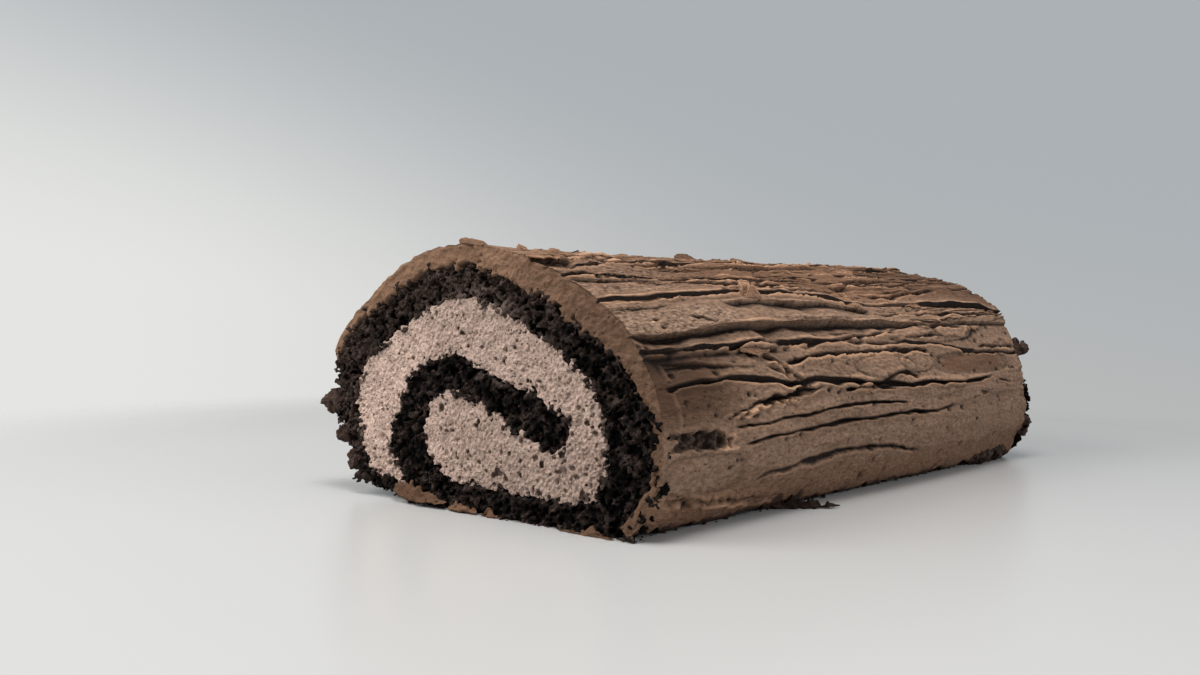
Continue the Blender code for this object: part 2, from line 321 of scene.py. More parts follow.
@dataclass(frozen=True)
class RollForm:
    """How the section runs along the roll: its two slanting cuts and how it swells towards the far end."""

    length: float = 188.0
    near_skew: float = 9.5
    far_skew: float = 1.5
    pivot_y: float = 40.0
    wider: float = 0.07
    taller: float = 0.085
    swell_power: float = 1.5
    box_middle: Pair = (89.537, 36.76)
    path: SheetPath = field(default_factory=SheetPath)

    def near(self, y: Array) -> Array:
        """X of the near cut at a Y of the section."""
        return -y * math.tan(math.radians(self.near_skew))

    def far(self, y: Array) -> Array:
        """X of the far cut at a Y of the section."""
        return self.length - y * math.tan(math.radians(self.far_skew))

    def between(self, y: Array, share: Array) -> Array:
        """X at a share of the way from the near cut to the far cut."""
        return self.near(y) + (self.far(y) - self.near(y)) * share

    def swollen(self, x: Array, y: Array, z: Array) -> Array:
        """Places in the roll of section points at X, in millimetres."""
        grown = np.clip(x / self.length, 0.0, 1.0) ** self.swell_power
        wide = self.pivot_y + (y - self.pivot_y) * (1.0 + self.wider * grown)
        return np.stack(np.broadcast_arrays(x, wide, z * (1.0 + self.taller * grown)), -1)

    def outside(self, distance: Array, x: Array, beyond: Array) -> Array:
        """Places over the sheet's outer face, at distances along the sheet and at X."""
        y, z = self.path.face(distance, -1.0, beyond)
        return self.swollen(x, y, z)

    def metres(self, points: Array) -> Array:
        """Points in metres, with the roll's box standing on the origin."""
        return (points - np.array([*self.box_middle, 0.0])) * MM


FORM = RollForm()


def polygon_distance(outline: Array, y: Array, z: Array) -> Array:
    """How far each point of a grid of Y and Z lies inside a closed outline (negative outside it)."""
    py, pz = (part.astype(np.float32) for part in np.meshgrid(y, z, indexing="ij"))
    nearest = np.full(py.shape, FAR_AWAY, np.float32)
    inside = np.zeros(py.shape, bool)
    for (ay, az), (by, bz) in zip(outline, np.roll(outline, -1, axis=0)):
        ey, ez = by - ay, bz - az
        square = ey * ey + ez * ez
        if square < NO_LENGTH:
            continue
        along = np.clip(((py - ay) * ey + (pz - az) * ez) / square, 0.0, 1.0)
        off = (py - ay - along * ey) ** 2 + (pz - az - along * ez) ** 2
        np.minimum(nearest, off, out=nearest)
        if abs(ez) > NO_LENGTH:
            inside ^= ((az > pz) != (bz > pz)) & (py < ay + (pz - az) * ey / ez)
    return np.where(inside, 1.0, -1.0) * np.sqrt(nearest)


# ---------------------------------------------------------------- meshes


def grid_quads(rows: int, columns: int) -> Array:
    """The quads of a grid of points, numbered row by row."""
    first = (np.arange(rows - 1)[:, None] * columns + np.arange(columns - 1)[None]).reshape(-1)
    return np.stack([first, first + columns, first + columns + 1, first + 1], -1)


def ring_quads(rings: int, count: int) -> Array:
    """The quads between closed rings of points, numbered ring by ring."""
    start = np.arange(rings - 1)[:, None] * count
    first = (start + np.arange(count)).reshape(-1)
    following = (start + (np.arange(count) + 1) % count).reshape(-1)
    return np.stack([first, first + count, following + count, following], -1)


def grid_uv(rows: int, columns: int) -> Array:
    """A flat map of a grid of points."""
    v, u = np.meshgrid(np.linspace(0.0, 1.0, rows), np.linspace(0.0, 1.0, columns), indexing="ij")
    return UV_START + UV_SPAN * np.stack([u, v], -1).reshape(-1, 2)


@dataclass
class Mesh:
    """Points in millimetres with their flat map and masks, and faces; a triangle repeats its last corner."""

    points: Array
    faces: Array
    uv: Array
    masks: dict[str, Array] = field(default_factory=dict)

    @classmethod
    def of_grid(cls, points: Array, masks: dict[str, Array]) -> "Mesh":
        """The mesh of rows of points."""
        rows, columns = points.shape[:2]
        flat = {name: values.reshape(-1) for name, values in masks.items()}
        return cls(points.reshape(-1, 3), grid_quads(rows, columns), grid_uv(rows, columns), flat)

    def joined(self, other: "Mesh") -> "Mesh":
        """This mesh and another as one, each with nothing on the masks that only the other has."""
        masks = {}
        for name in {**self.masks, **other.masks}:
            values = [mesh.masks.get(name, np.zeros(len(mesh.points))) for mesh in (self, other)]
            masks[name] = np.concatenate(values)
        return Mesh(
            np.concatenate([self.points, other.points]),
            np.concatenate([self.faces, other.faces + len(self.points)]),
            np.concatenate([self.uv, other.uv]),
            masks,
        )

    def kept(self, faces: Array) -> "Mesh":
        """This mesh with only some of its faces."""
        used, numbers = np.unique(self.faces[faces], return_inverse=True)
        masks = {name: values[used] for name, values in self.masks.items()}
        return Mesh(self.points[used], numbers.reshape(-1, 4), self.uv[used], masks)

    def in_cell(self, number: int, cells: tuple[int, int], share: float = 1.0) -> "Mesh":
        """This mesh with its flat map in one cell of a chart, of which it takes up a share each way."""
        corner = np.array([number % cells[0], number // cells[0]])
        self.uv = (self.uv * share + corner) / np.array(cells, float)
        return self


@dataclass(frozen=True)
class Look:
    """A material and a slot name, the material's own name."""

    material: bpy.types.Material
    slot: str


def make_piece(name: str, mesh: Mesh, look: Look, smooth: bool = False) -> bpy.types.Object:
    """Makes an object that rides on the roll.

    Args:
        name: the piece's name.
        mesh: what it is made of.
        look: its material; the look's slot is not used.
        smooth: whether its faces are shaded as one smooth skin, and not one by one.

    Returns:
        The object, riding on the root body.
    """
    data = bpy.data.meshes.new(name)
    faces = mesh.faces
    is_quad = faces[:, 3] != faces[:, 2]
    sizes = 3 + is_quad
    corners = faces[np.stack([np.ones_like(is_quad)] * 3 + [is_quad], -1)]
    starts = np.concatenate([[0], np.cumsum(sizes)[:-1]])
    data.vertices.add(len(mesh.points))
    data.vertices.foreach_set("co", FORM.metres(mesh.points).astype(np.float32).reshape(-1))
    data.loops.add(len(corners))
    data.loops.foreach_set("vertex_index", corners.astype(np.int32))
    data.polygons.add(len(faces))
    data.polygons.foreach_set("loop_start", starts.astype(np.int32))
    data.polygons.foreach_set("use_smooth", np.full(len(faces), smooth))
    layer = data.uv_layers.new(name="OFBake")
    layer.data.foreach_set("uv", mesh.uv[corners].astype(np.float32).reshape(-1))
    for mask, values in mesh.masks.items():
        attribute = data.attributes.new(mask, "FLOAT", "POINT")
        attribute.data.foreach_set("value", values.astype(np.float32).reshape(-1))
    data.update(calc_edges=True)
    data.validate()
    data.materials.append(look.material)
    made = bpy.data.objects.new(name, data)
    bpy.context.scene.collection.objects.link(made)
    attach(made, "root")
    LOG.info("%s: %d faces, %d triangles", name, len(faces), int((sizes - 2).sum()))
    return made


def neighbours(axis: int) -> tuple[tuple[slice, ...], tuple[slice, ...]]:
    """The parts of a block without its last and without its first layer along an axis."""
    ends = (slice(-1), slice(1, None))
    return tuple(tuple(end if k == axis else slice(None) for k in range(3)) for end in ends)


def surface_net(body: Array) -> tuple[Array, Array]:
    """The surface between the full (above 0) and empty cells of a block of values.

    Args:
        body: values on a regular block, in three axes.

    Returns:
        The surface's points, in steps of the block, and its quads facing out of the full side.
    """
    cells = tuple(size - 1 for size in body.shape)
    total = np.zeros(cells + (3,), np.float32)
    count = np.zeros(cells, np.uint8)
    full = body > 0.0
    crossings = []
    for axis in range(3):
        low, high = neighbours(axis)
        found = np.nonzero(full[low] != full[high])
        a, b = body[low][found], body[high][found]
        place = np.stack(found, -1).astype(np.float32)
        place[:, axis] += a / (a - b)
        others = [k for k in range(3) if k != axis]
        around = []
        keep = np.ones(len(a), bool)
        for first, second in ((0, 0), (1, 0), (1, 1), (0, 1)):
            cell = np.stack(found, -1)
            cell[:, others[0]] -= first
            cell[:, others[1]] -= second
            valid = (cell >= 0).all(1) & (cell < np.array(cells)).all(1)
            keep &= valid
            flat = np.ravel_multi_index(cell[valid].T, cells)
            for k in range(3):
                total[..., k] += np.bincount(flat, place[valid, k], count.size).reshape(cells)
            count += np.bincount(flat, minlength=count.size).reshape(cells).astype(np.uint8)
            around.append(cell)
        crossings.append((np.stack(around, 1)[keep], a[keep] > 0.0, axis))
    used = count > 0
    number = np.full(cells, -1, np.int64)
    number[used] = np.arange(int(used.sum()))
    points = total[used] / count[used][:, None]
    quads = []
    for around, forward, axis in crossings:
        ids = number[around[..., 0], around[..., 1], around[..., 2]]
        turn = forward if axis != 1 else ~forward
        quads.append(np.where(turn[:, None], ids, ids[:, ::-1]))
    return points.astype(float), np.concatenate(quads)


def anchored(full: Array, roots: Array, rounds: int = 120) -> Array:
    """The full cells that hang together with the roots, so that nothing floats."""
    reached = full & roots
    size = int(reached.sum())
    for _ in range(rounds):
        grown = reached.copy()
        for axis in range(3):
            low, high = neighbours(axis)
            grown[low] |= reached[high]
            grown[high] |= reached[low]
        reached = grown & full
        new_size = int(reached.sum())
        if new_size == size:
            break
        size = new_size
    return reached


# ---------------------------------------------------------------- finishes


EVEN = (1.0, 1.0, 1.0)
DRAGGED = (0.5, 1.0, 1.0)  # stretched along the roll, the way the spatula went
GREY = (0.5, 0.5, 0.5, 1.0)


class Recipe(Enum):
    """The shared surface effects."""

    MOTTLE = "mottle"
    GRAIN = "grain"
    PORES = "pores"


def new_group(name: str, inputs: dict, output: str, kind: str) -> tuple:
    """A shader node group with named inputs and one output.

    Args:
        name: the group's name.
        inputs: the default of each input: a number, a vector of three or a colour of four.
        output: the output's name.
        kind: its socket type.

    Returns:
        The group, the values it is given and the socket that takes its result.
    """
    group = bpy.data.node_groups.new(name, "ShaderNodeTree")
    for label, default in inputs.items():
        size = 1 if isinstance(default, float) else len(default)
        socket_type = {1: "NodeSocketFloat", 3: "NodeSocketVector", 4: "NodeSocketColor"}[size]
        socket = group.interface.new_socket(name=label, in_out="INPUT", socket_type=socket_type)
        socket.default_value = default
    group.interface.new_socket(name=output, in_out="OUTPUT", socket_type=kind)
    given, result = group.nodes.new("NodeGroupInput"), group.nodes.new("NodeGroupOutput")
    return group, given.outputs, result.inputs[0]


def linked(tree: Tree, kind: str, settings: dict, values: dict) -> bpy.types.Node:
    """Adds a node, sets its properties, and gives each named or numbered input a value or a link."""
    node = tree.nodes.new(kind)
    for name, value in settings.items():
        setattr(node, name, value)
    for key, value in values.items():
        if isinstance(value, bpy.types.NodeSocket):
            tree.links.new(value, node.inputs[key])
        else:
            node.inputs[key].default_value = value
    return node


def maths(tree: Tree, operation: str, *values: Value, clamp: bool = False) -> Socket:
    """The output of a Math node."""
    settings = {"operation": operation, "use_clamp": clamp}
    return linked(tree, "ShaderNodeMath", settings, dict(enumerate(values))).outputs[0]


def added(tree: Tree, start: Value, value: Socket, by: float, clamp: bool = False) -> Socket:
    """A value with so many times another added."""
    return maths(tree, "ADD", start, maths(tree, "MULTIPLY", value, by), clamp=clamp)


def blended(tree: Tree, share: Value, first: Value, second: Value, way: str = "MIX") -> Socket:
    """The colour output of a Mix node between two colours."""
    given = {0: share, 6: first, 7: second}
    given = {key: (*value, 1.0) if isinstance(value, tuple) else value for key, value in given.items()}
    return linked(tree, "ShaderNodeMix", {"data_type": "RGBA", "blend_type": way}, given).outputs[2]


def ranged(tree: Tree, value: Socket, low: float, high: float) -> Socket:
    """The output of a Map Range node that rises from 0 to 1, with eased ends."""
    values = {"Value": value, "From Min": low, "From Max": high}
    return linked(tree, "ShaderNodeMapRange", {"interpolation_type": "SMOOTHSTEP"}, values).outputs[0]


def stretched(tree: Tree, by: Socket) -> Socket:
    """The place on the object, multiplied along each axis."""
    place = tree.nodes.new("ShaderNodeTexCoord").outputs["Object"]
    return linked(tree, "ShaderNodeVectorMath", {"operation": "MULTIPLY"}, {0: place, 1: by}).outputs[0]


def clouds(tree: Tree, place: Socket, scale: Socket, detail: float, roughness: float = 0.5) -> Socket:
    """The output of a Noise Texture node."""
    values = {"Vector": place, "Scale": scale, "Detail": detail, "Roughness": roughness}
    return linked(tree, "ShaderNodeTexNoise", {}, values).outputs[0]


class Effects:
    """The node groups that the finishes share, each built once."""

    def __init__(self) -> None:
        """Builds the three groups."""
        self.groups = {Recipe.MOTTLE: self.mottle(), Recipe.GRAIN: self.grain(), Recipe.PORES: self.pores()}

    def mottle(self) -> Tree:
        """Patches of two colours at two sizes."""
        inputs = {"First": GREY, "Second": GREY, "Patches per metre": 100.0, "Specks per metre": 1500.0}
        inputs |= {"Speck share": 0.4, "Stretch": EVEN}
        group, given, result = new_group("mottle", inputs, "Colour", "NodeSocketColor")
        place = stretched(group, given["Stretch"])
        patch = ranged(group, clouds(group, place, given["Patches per metre"], 4.0), 0.33, 0.67)
        speck = ranged(group, clouds(group, place, given["Specks per metre"], 2.0), 0.3, 0.7)
        both = {0: given["Speck share"], 2: patch, 3: speck}
        share = linked(group, "ShaderNodeMix", {"data_type": "FLOAT"}, both).outputs[0]
        group.links.new(blended(group, share, given["First"], given["Second"]), result)
        return group

    def grain(self) -> Tree:
        """A fine sandy grain with a wider waviness under it, as a height."""
        inputs = {"Grains per metre": 3000.0, "Waves per metre": 400.0, "Wave share": 0.3, "Stretch": EVEN}
        group, given, result = new_group("grain", inputs, "Height", "NodeSocketFloat")
        place = stretched(group, given["Stretch"])
        sand = clouds(group, place, given["Grains per metre"], 2.0, 0.65)
        both = {0: given["Wave share"], 2: sand, 3: clouds(group, place, given["Waves per metre"], 3.0)}
        group.links.new(linked(group, "ShaderNodeMix", {"data_type": "FLOAT"}, both).outputs[0], result)
        return group

    def pores(self) -> Tree:
        """Small round pores as a mask, 1 in the middle of each."""
        inputs = {"Pores per metre": 800.0, "Size": 0.3, "Stretch": EVEN}
        group, given, result = new_group("pores", inputs, "Mask", "NodeSocketFloat")
        values = {"Vector": stretched(group, given["Stretch"]), "Scale": given["Pores per metre"]}
        near = linked(group, "ShaderNodeTexVoronoi", {"feature": "F1"}, values).outputs["Distance"]
        share = maths(group, "DIVIDE", near, given["Size"])
        group.links.new(maths(group, "SUBTRACT", 1.0, ranged(group, share, 0.35, 1.0)), result)
        return group

    def use(self, tree: Tree, recipe: Recipe, *values: Value) -> Socket:
        """Places a group in a material, with values in the order of its inputs, and gives its output."""
        given = dict(enumerate(values))
        if recipe is Recipe.MOTTLE:
            given |= {key: (*values[key], 1.0) for key in (0, 1)}
        return linked(tree, "ShaderNodeGroup", {"node_tree": self.groups[recipe]}, given).outputs[0]


class Paint:
    """A material in the making: its node tree and its Principled shader."""

    def __init__(self, name: str, shown: Colour, roughness: float, specular: float) -> None:
        """Makes the material with only its shader."""
        self.name = name
        self.material = bpy.data.materials.new(name)
        self.material.use_nodes = True
        self.material.diffuse_color = (*shown, 1.0)
        self.tree = self.material.node_tree
        self.shader = self.tree.nodes["Principled BSDF"]
        self.shader.inputs["Roughness"].default_value = roughness
        self.shader.inputs["Specular IOR Level"].default_value = specular

    def mask(self, name: str) -> Socket:
        """The value of a mask that a mesh carries on its points."""
        return linked(self.tree, "ShaderNodeAttribute", {"attribute_name": name}, {}).outputs["Fac"]

    def masked(self, base: Socket, **colours: Value) -> Socket:
        """A base with each colour laid over it in turn, by the mask of its name."""
        for name, colour in colours.items():
            base = blended(self.tree, self.mask(name), base, colour)
        return base

    def finished(self, base: Socket, height: Socket, millimetres: float) -> Look:
        """The look of the material, with its base colour and the normal of a bump of the given height."""
        self.tree.links.new(base, self.shader.inputs["Base Color"])
        values = {"Height": height, "Distance": millimetres * MM, "Strength": 1.0}
        normal = linked(self.tree, "ShaderNodeBump", {}, values).outputs[0]
        self.tree.links.new(normal, self.shader.inputs["Normal"])
        return Look(self.material, self.name)


@dataclass(frozen=True)
class IcingFinish:
    """Matt chocolate icing with a sandy grain, painted highlights on its thin lips and ridges, and painted shade in
    its cracks and hollows.
    """

    light: Colour = (0.205, 0.125, 0.083)
    dark: Colour = (0.128, 0.072, 0.044)
    # a darkening, warming tint: partly the coat's own deeper tone, partly painted shade towards the foot of the
    # flank
    warm: Colour = (0.72, 0.57, 0.47)
    grit_light: Colour = (0.450, 0.300, 0.212)
    grit_dark: Colour = (0.050, 0.027, 0.016)
    # painted highlight: the lighter orange laid on lit lips, ridges, layer edges and torn bits
    lip: Colour = (0.480, 0.282, 0.172)
    # painted shade: the near-black laid on crack floors, hollows, pits and shaded stretches
    crack: Colour = (0.012, 0.0065, 0.0045)
    bare: Colour = (0.006, 0.004, 0.003)
    bare_light: Colour = (0.135, 0.094, 0.074)
    band: Colour = (0.150, 0.083, 0.050)
    roughness: float = 0.72

    def look(self, effects: Effects) -> Look:
        """Builds the material."""
        paint = Paint("chocolate_icing", self.light, self.roughness, 0.12)
        tree, mask, mottle = paint.tree, paint.mask, Recipe.MOTTLE
        base = effects.use(tree, mottle, self.dark, self.light, 120.0, 1000.0, 0.5, DRAGGED)
        grit = effects.use(tree, mottle, self.grit_dark, self.grit_light, 1150.0, 1900.0, 0.45, DRAGGED)
        crumb = effects.use(tree, mottle, self.bare, self.bare_light, 900.0, 1500.0, 0.5)
        speck = effects.use(tree, Recipe.PORES, 430.0, 0.17, (0.8, 1.0, 1.3))
        sand = effects.use(tree, Recipe.GRAIN, 1500.0, 500.0, 0.25, DRAGGED)
        base = blended(tree, added(tree, 0.36, mask("sand"), 0.4), base, grit)
        base = blended(tree, mask("warm"), base, self.warm, "MULTIPLY")
        base = paint.masked(base, band=self.band, lip=self.lip, bare=crumb, deep=self.crack)
        base = blended(tree, maths(tree, "MULTIPLY", speck, 0.6), base, self.grit_dark)
        rough = added(tree, added(tree, self.roughness, mask("bare"), 0.35), mask("band"), 0.12, clamp=True)
        tree.links.new(rough, paint.shader.inputs["Roughness"])
        height = maths(tree, "MULTIPLY", sand, added(tree, 0.7, mask("sand"), 1.3))
        return paint.finished(base, added(tree, height, speck, -0.5), 0.75)


@dataclass(frozen=True)
class SpongeFinish:
    """Near-black crumb, smeared with cream beside the filling, with painted shade in its hollows and over its
    shaded parts.
    """

    light: Colour = (0.098, 0.067, 0.056)
    dark: Colour = (0.0015, 0.0010, 0.0009)
    # painted shade: the near-black the crumb takes in its hollows and on its shaded parts
    hollow: Colour = (0.0012, 0.0008, 0.0007)
    smear: Colour = (0.250, 0.186, 0.160)
    toasted: Colour = (0.075, 0.042, 0.030)

    def look(self, effects: Effects) -> Look:
        """Builds the material."""
        paint = Paint("dark_sponge", self.light, 0.85, 0.08)
        # the light specks stand partly for painted highlights on the crumbs, over the crumb's own near-black
        base = effects.use(paint.tree, Recipe.MOTTLE, self.dark, self.light, 950.0, 2300.0, 0.6)
        base = paint.masked(base, toasted=self.toasted, smear=self.smear, deep=self.hollow)
        return paint.finished(base, effects.use(paint.tree, Recipe.GRAIN, 1800.0, 800.0, 0.35), 0.9)


@dataclass(frozen=True)
class CreamFinish:
    """Whipped cocoa cream: a pale pinkish brown, fine-grained, with painted shade in its small pores."""

    light: Colour = (0.680, 0.502, 0.418)
    dark: Colour = (0.312, 0.215, 0.172)
    # painted shade: the dark of the pores, also laid on pores behind the face and over the cream at small Y
    pore_shade: Colour = (0.085, 0.052, 0.039)

    def look(self, effects: Effects) -> Look:
        """Builds the material."""
        paint = Paint("cocoa_cream", self.light, 0.62, 0.35)
        tree = paint.tree
        base = effects.use(tree, Recipe.MOTTLE, self.dark, self.light, 330.0, 1700.0, 0.65)
        pores = effects.use(tree, Recipe.PORES, 720.0, 0.24, (1.0, 0.8, 1.2))
        base = blended(tree, maths(tree, "MULTIPLY", pores, 0.6), base, self.pore_shade)
        grain = effects.use(tree, Recipe.GRAIN, 1700.0, 700.0, 0.3)
        return paint.finished(paint.masked(base, deep=self.pore_shade), added(tree, grain, pores, -0.6), 0.8)


@dataclass
class Looks:
    """The three materials of the roll."""

    icing: Look
    sponge: Look
    cream: Look

    @classmethod
    def make(cls) -> "Looks":
        """Builds the shared effects and the materials."""
        effects = Effects()
        return cls(*(finish.look(effects) for finish in (IcingFinish(), SpongeFinish(), CreamFinish())))


# ---------------------------------------------------------------- the coat of icing


class Foot(Enum):
    """The shape of the hollow under an edge, as the power with which its floor comes back up."""

    CRACK = 3.0
    SCOOP = 0.8


@dataclass(frozen=True)
class Stroke:
    """One long mark of the spatula: an edge that stands over a hollow, with a thin lip along its far side.

    The edge's knots are (X, distance along the sheet), those of its reach (X, width of the hollow). The
    hollow drops into the coat. The crest rises before the edge, which leans over the hollow and wanders as
    it is torn.
    """

    name: str
    edge: Knots
    reach: Knots
    drop: float
    crest: float = 0.35
    crest_width: float = 1.6
    lip: float = 0.4
    torn: float = 0.15
    over: float = 0.25
    foot: Foot = Foot.CRACK
    fade: Pair = (5.0, 7.0)
    weak: tuple[tuple[float, float, float], ...] = ()  # (from X, to X, share of the strength kept there)

    def noise(self, x: Array, scale: float, number: int) -> Array:
        """This stroke's own smooth noise along the roll."""
        seed = sum(ord(letter) * (place + 3) for place, letter in enumerate(self.name)) % NOISES
        return noise([x / scale], seed + number)

    def line(self, x: Array) -> Array:
        """The edge's distance along the sheet at each X."""
        wander = self.noise(x, 6.5, 0) + 0.35 * self.noise(x, 2.2, 1)
        return curve_through(self.edge, x) + self.torn * wander

    def width(self, x: Array) -> Array:
        """How wide the hollow is at each X."""
        return np.maximum(0.35, curve_through(self.reach, x) * (1.0 + 0.18 * self.noise(x, 3.1, 2)))

    def strength(self, x: Array) -> Array:
        """How strong the mark is at each X, fading at its ends."""
        full = window(x, self.edge[0][0], self.edge[-1][0], *self.fade) * (1.0 + 0.25 * self.noise(x, 7.0, 3))
        for low, high, kept in self.weak:
            full = full * (1.0 - (1.0 - kept) * window(x, low, high, 4.0, 4.0))
        return np.clip(full, 0.0, 1.3)


def stroke(name: str, edge: Knots, reach: Union[float, Knots], drop: float, **others: object) -> Stroke:
    """A stroke whose hollow has one width, or widths by X."""
    return Stroke(name, edge, reach if isinstance(reach, tuple) else ((0.0, reach),), drop, **others)


def scoop(name: str, edge: Knots, reach: Union[float, Knots], drop: float, **others: object) -> Stroke:
    """A stroke with a rounded hollow."""
    return stroke(name, edge, reach, drop, foot=Foot.SCOOP, **others)


# The long marks, in order round the roll: the rows of the mesh follow them.
FLOW = (
    stroke("great crack", ((-8, 115.2), (10, 114.7), (20, 113.8), (30, 112.8), (40, 111.8), (50, 111.1),
        (61, 110.8), (80, 111.1), (88, 111.5), (95, 114), (102, 114.8), (125, 115.3), (140, 115.9),
        (152, 116), (170, 117.4), (190, 119.6)), ((-8, 0.6), (10, 0.7), (40, 0.9), (60, 1), (90, 0.9),
        (100, 0.9), (190, 1.1)), 2.4, crest=1, crest_width=3, lip=0.15, over=0.5, torn=0.1,
        weak=((103, 137, 0.45), (-12, 2, 0.5)), fade=(2, 1)),
    scoop("shelf edge", ((-6, 124.1), (6, 124), (15, 123.6), (23, 123), (30, 122.3), (40, 121.8),
        (50, 121.5), (110, 121.4), (120, 121.8), (135, 122.6), (150, 122.4), (190, 122.9)), ((-6, 3.3),
        (20, 3.2), (40, 3.7), (100, 3), (120, 1.6), (190, 1.4)), 2.3, crest=0.8, crest_width=3.4, lip=0,
        over=0.3, torn=0.06, weak=((118, 192, 0.4), (-9, 10, 0.55)), fade=(1.5, 1)),
    stroke("second crack", ((-4, 126.7), (10, 126.4), (20, 125.9), (30, 125.6), (41, 125.2), (54, 125),
        (68, 125.1), (80, 125.5), (100, 126), (113, 126.3), (125, 126.7), (135, 127.4), (145, 128.6),
        (160, 129), (190, 129.5)), ((-4, 1.1), (30, 1.2), (41, 0.9), (54, 1.3), (62, 1.9), (73, 1.2),
        (100, 0.7), (190, 0.8)), 2, crest=0.25, crest_width=1.2, lip=0.95, over=0.3, torn=0.12,
        weak=((-6, 20, 0.45), (42, 53, 0.25), (75, 112, 0.3), (150, 192, 0.4)), fade=(1.5, 1)),
    stroke("long groove", ((3, 132.7), (15, 131.9), (25, 131.5), (33, 131.6), (42, 132.3), (50, 132.8),
        (60, 132.4), (70, 132.9), (80, 133.6), (90, 134.1), (100, 134.8), (120, 135), (130, 135.3),
        (145, 135.5), (155, 135.1), (164, 134.6)), ((3, 0.8), (40, 1), (60, 1.4), (90, 1.1), (120, 1.1),
        (164, 0.7)), 1.7, crest_width=1.4, lip=0.5, over=0.3, torn=0.1, fade=(9, 12)),
    stroke("straight crack", ((27, 142.4), (36, 142), (42, 141.5), (50, 141), (60, 140.9), (70, 140.5),
        (90, 140.4), (110, 140.5), (122, 140.6), (132, 140.1)), ((27, 0.5), (60, 0.85), (110, 0.9),
        (132, 0.6)), 1.9, crest=0.3, crest_width=1, lip=0.1, over=0.3, torn=0.09, fade=(9, 9)),
    stroke("low crack", ((33, 148.2), (40, 147.2), (46, 146.9), (55, 146.4), (65, 146), (80, 145.8),
        (90, 146), (98, 146.5), (107, 147.3), (115, 148.1)), ((33, 0.5), (46, 0.9), (55, 1.2), (70, 1.1),
        (90, 0.8), (115, 0.5)), 1.6, crest=0.3, crest_width=0.9, lip=0.12, torn=0.16, fade=(7, 16)),
)

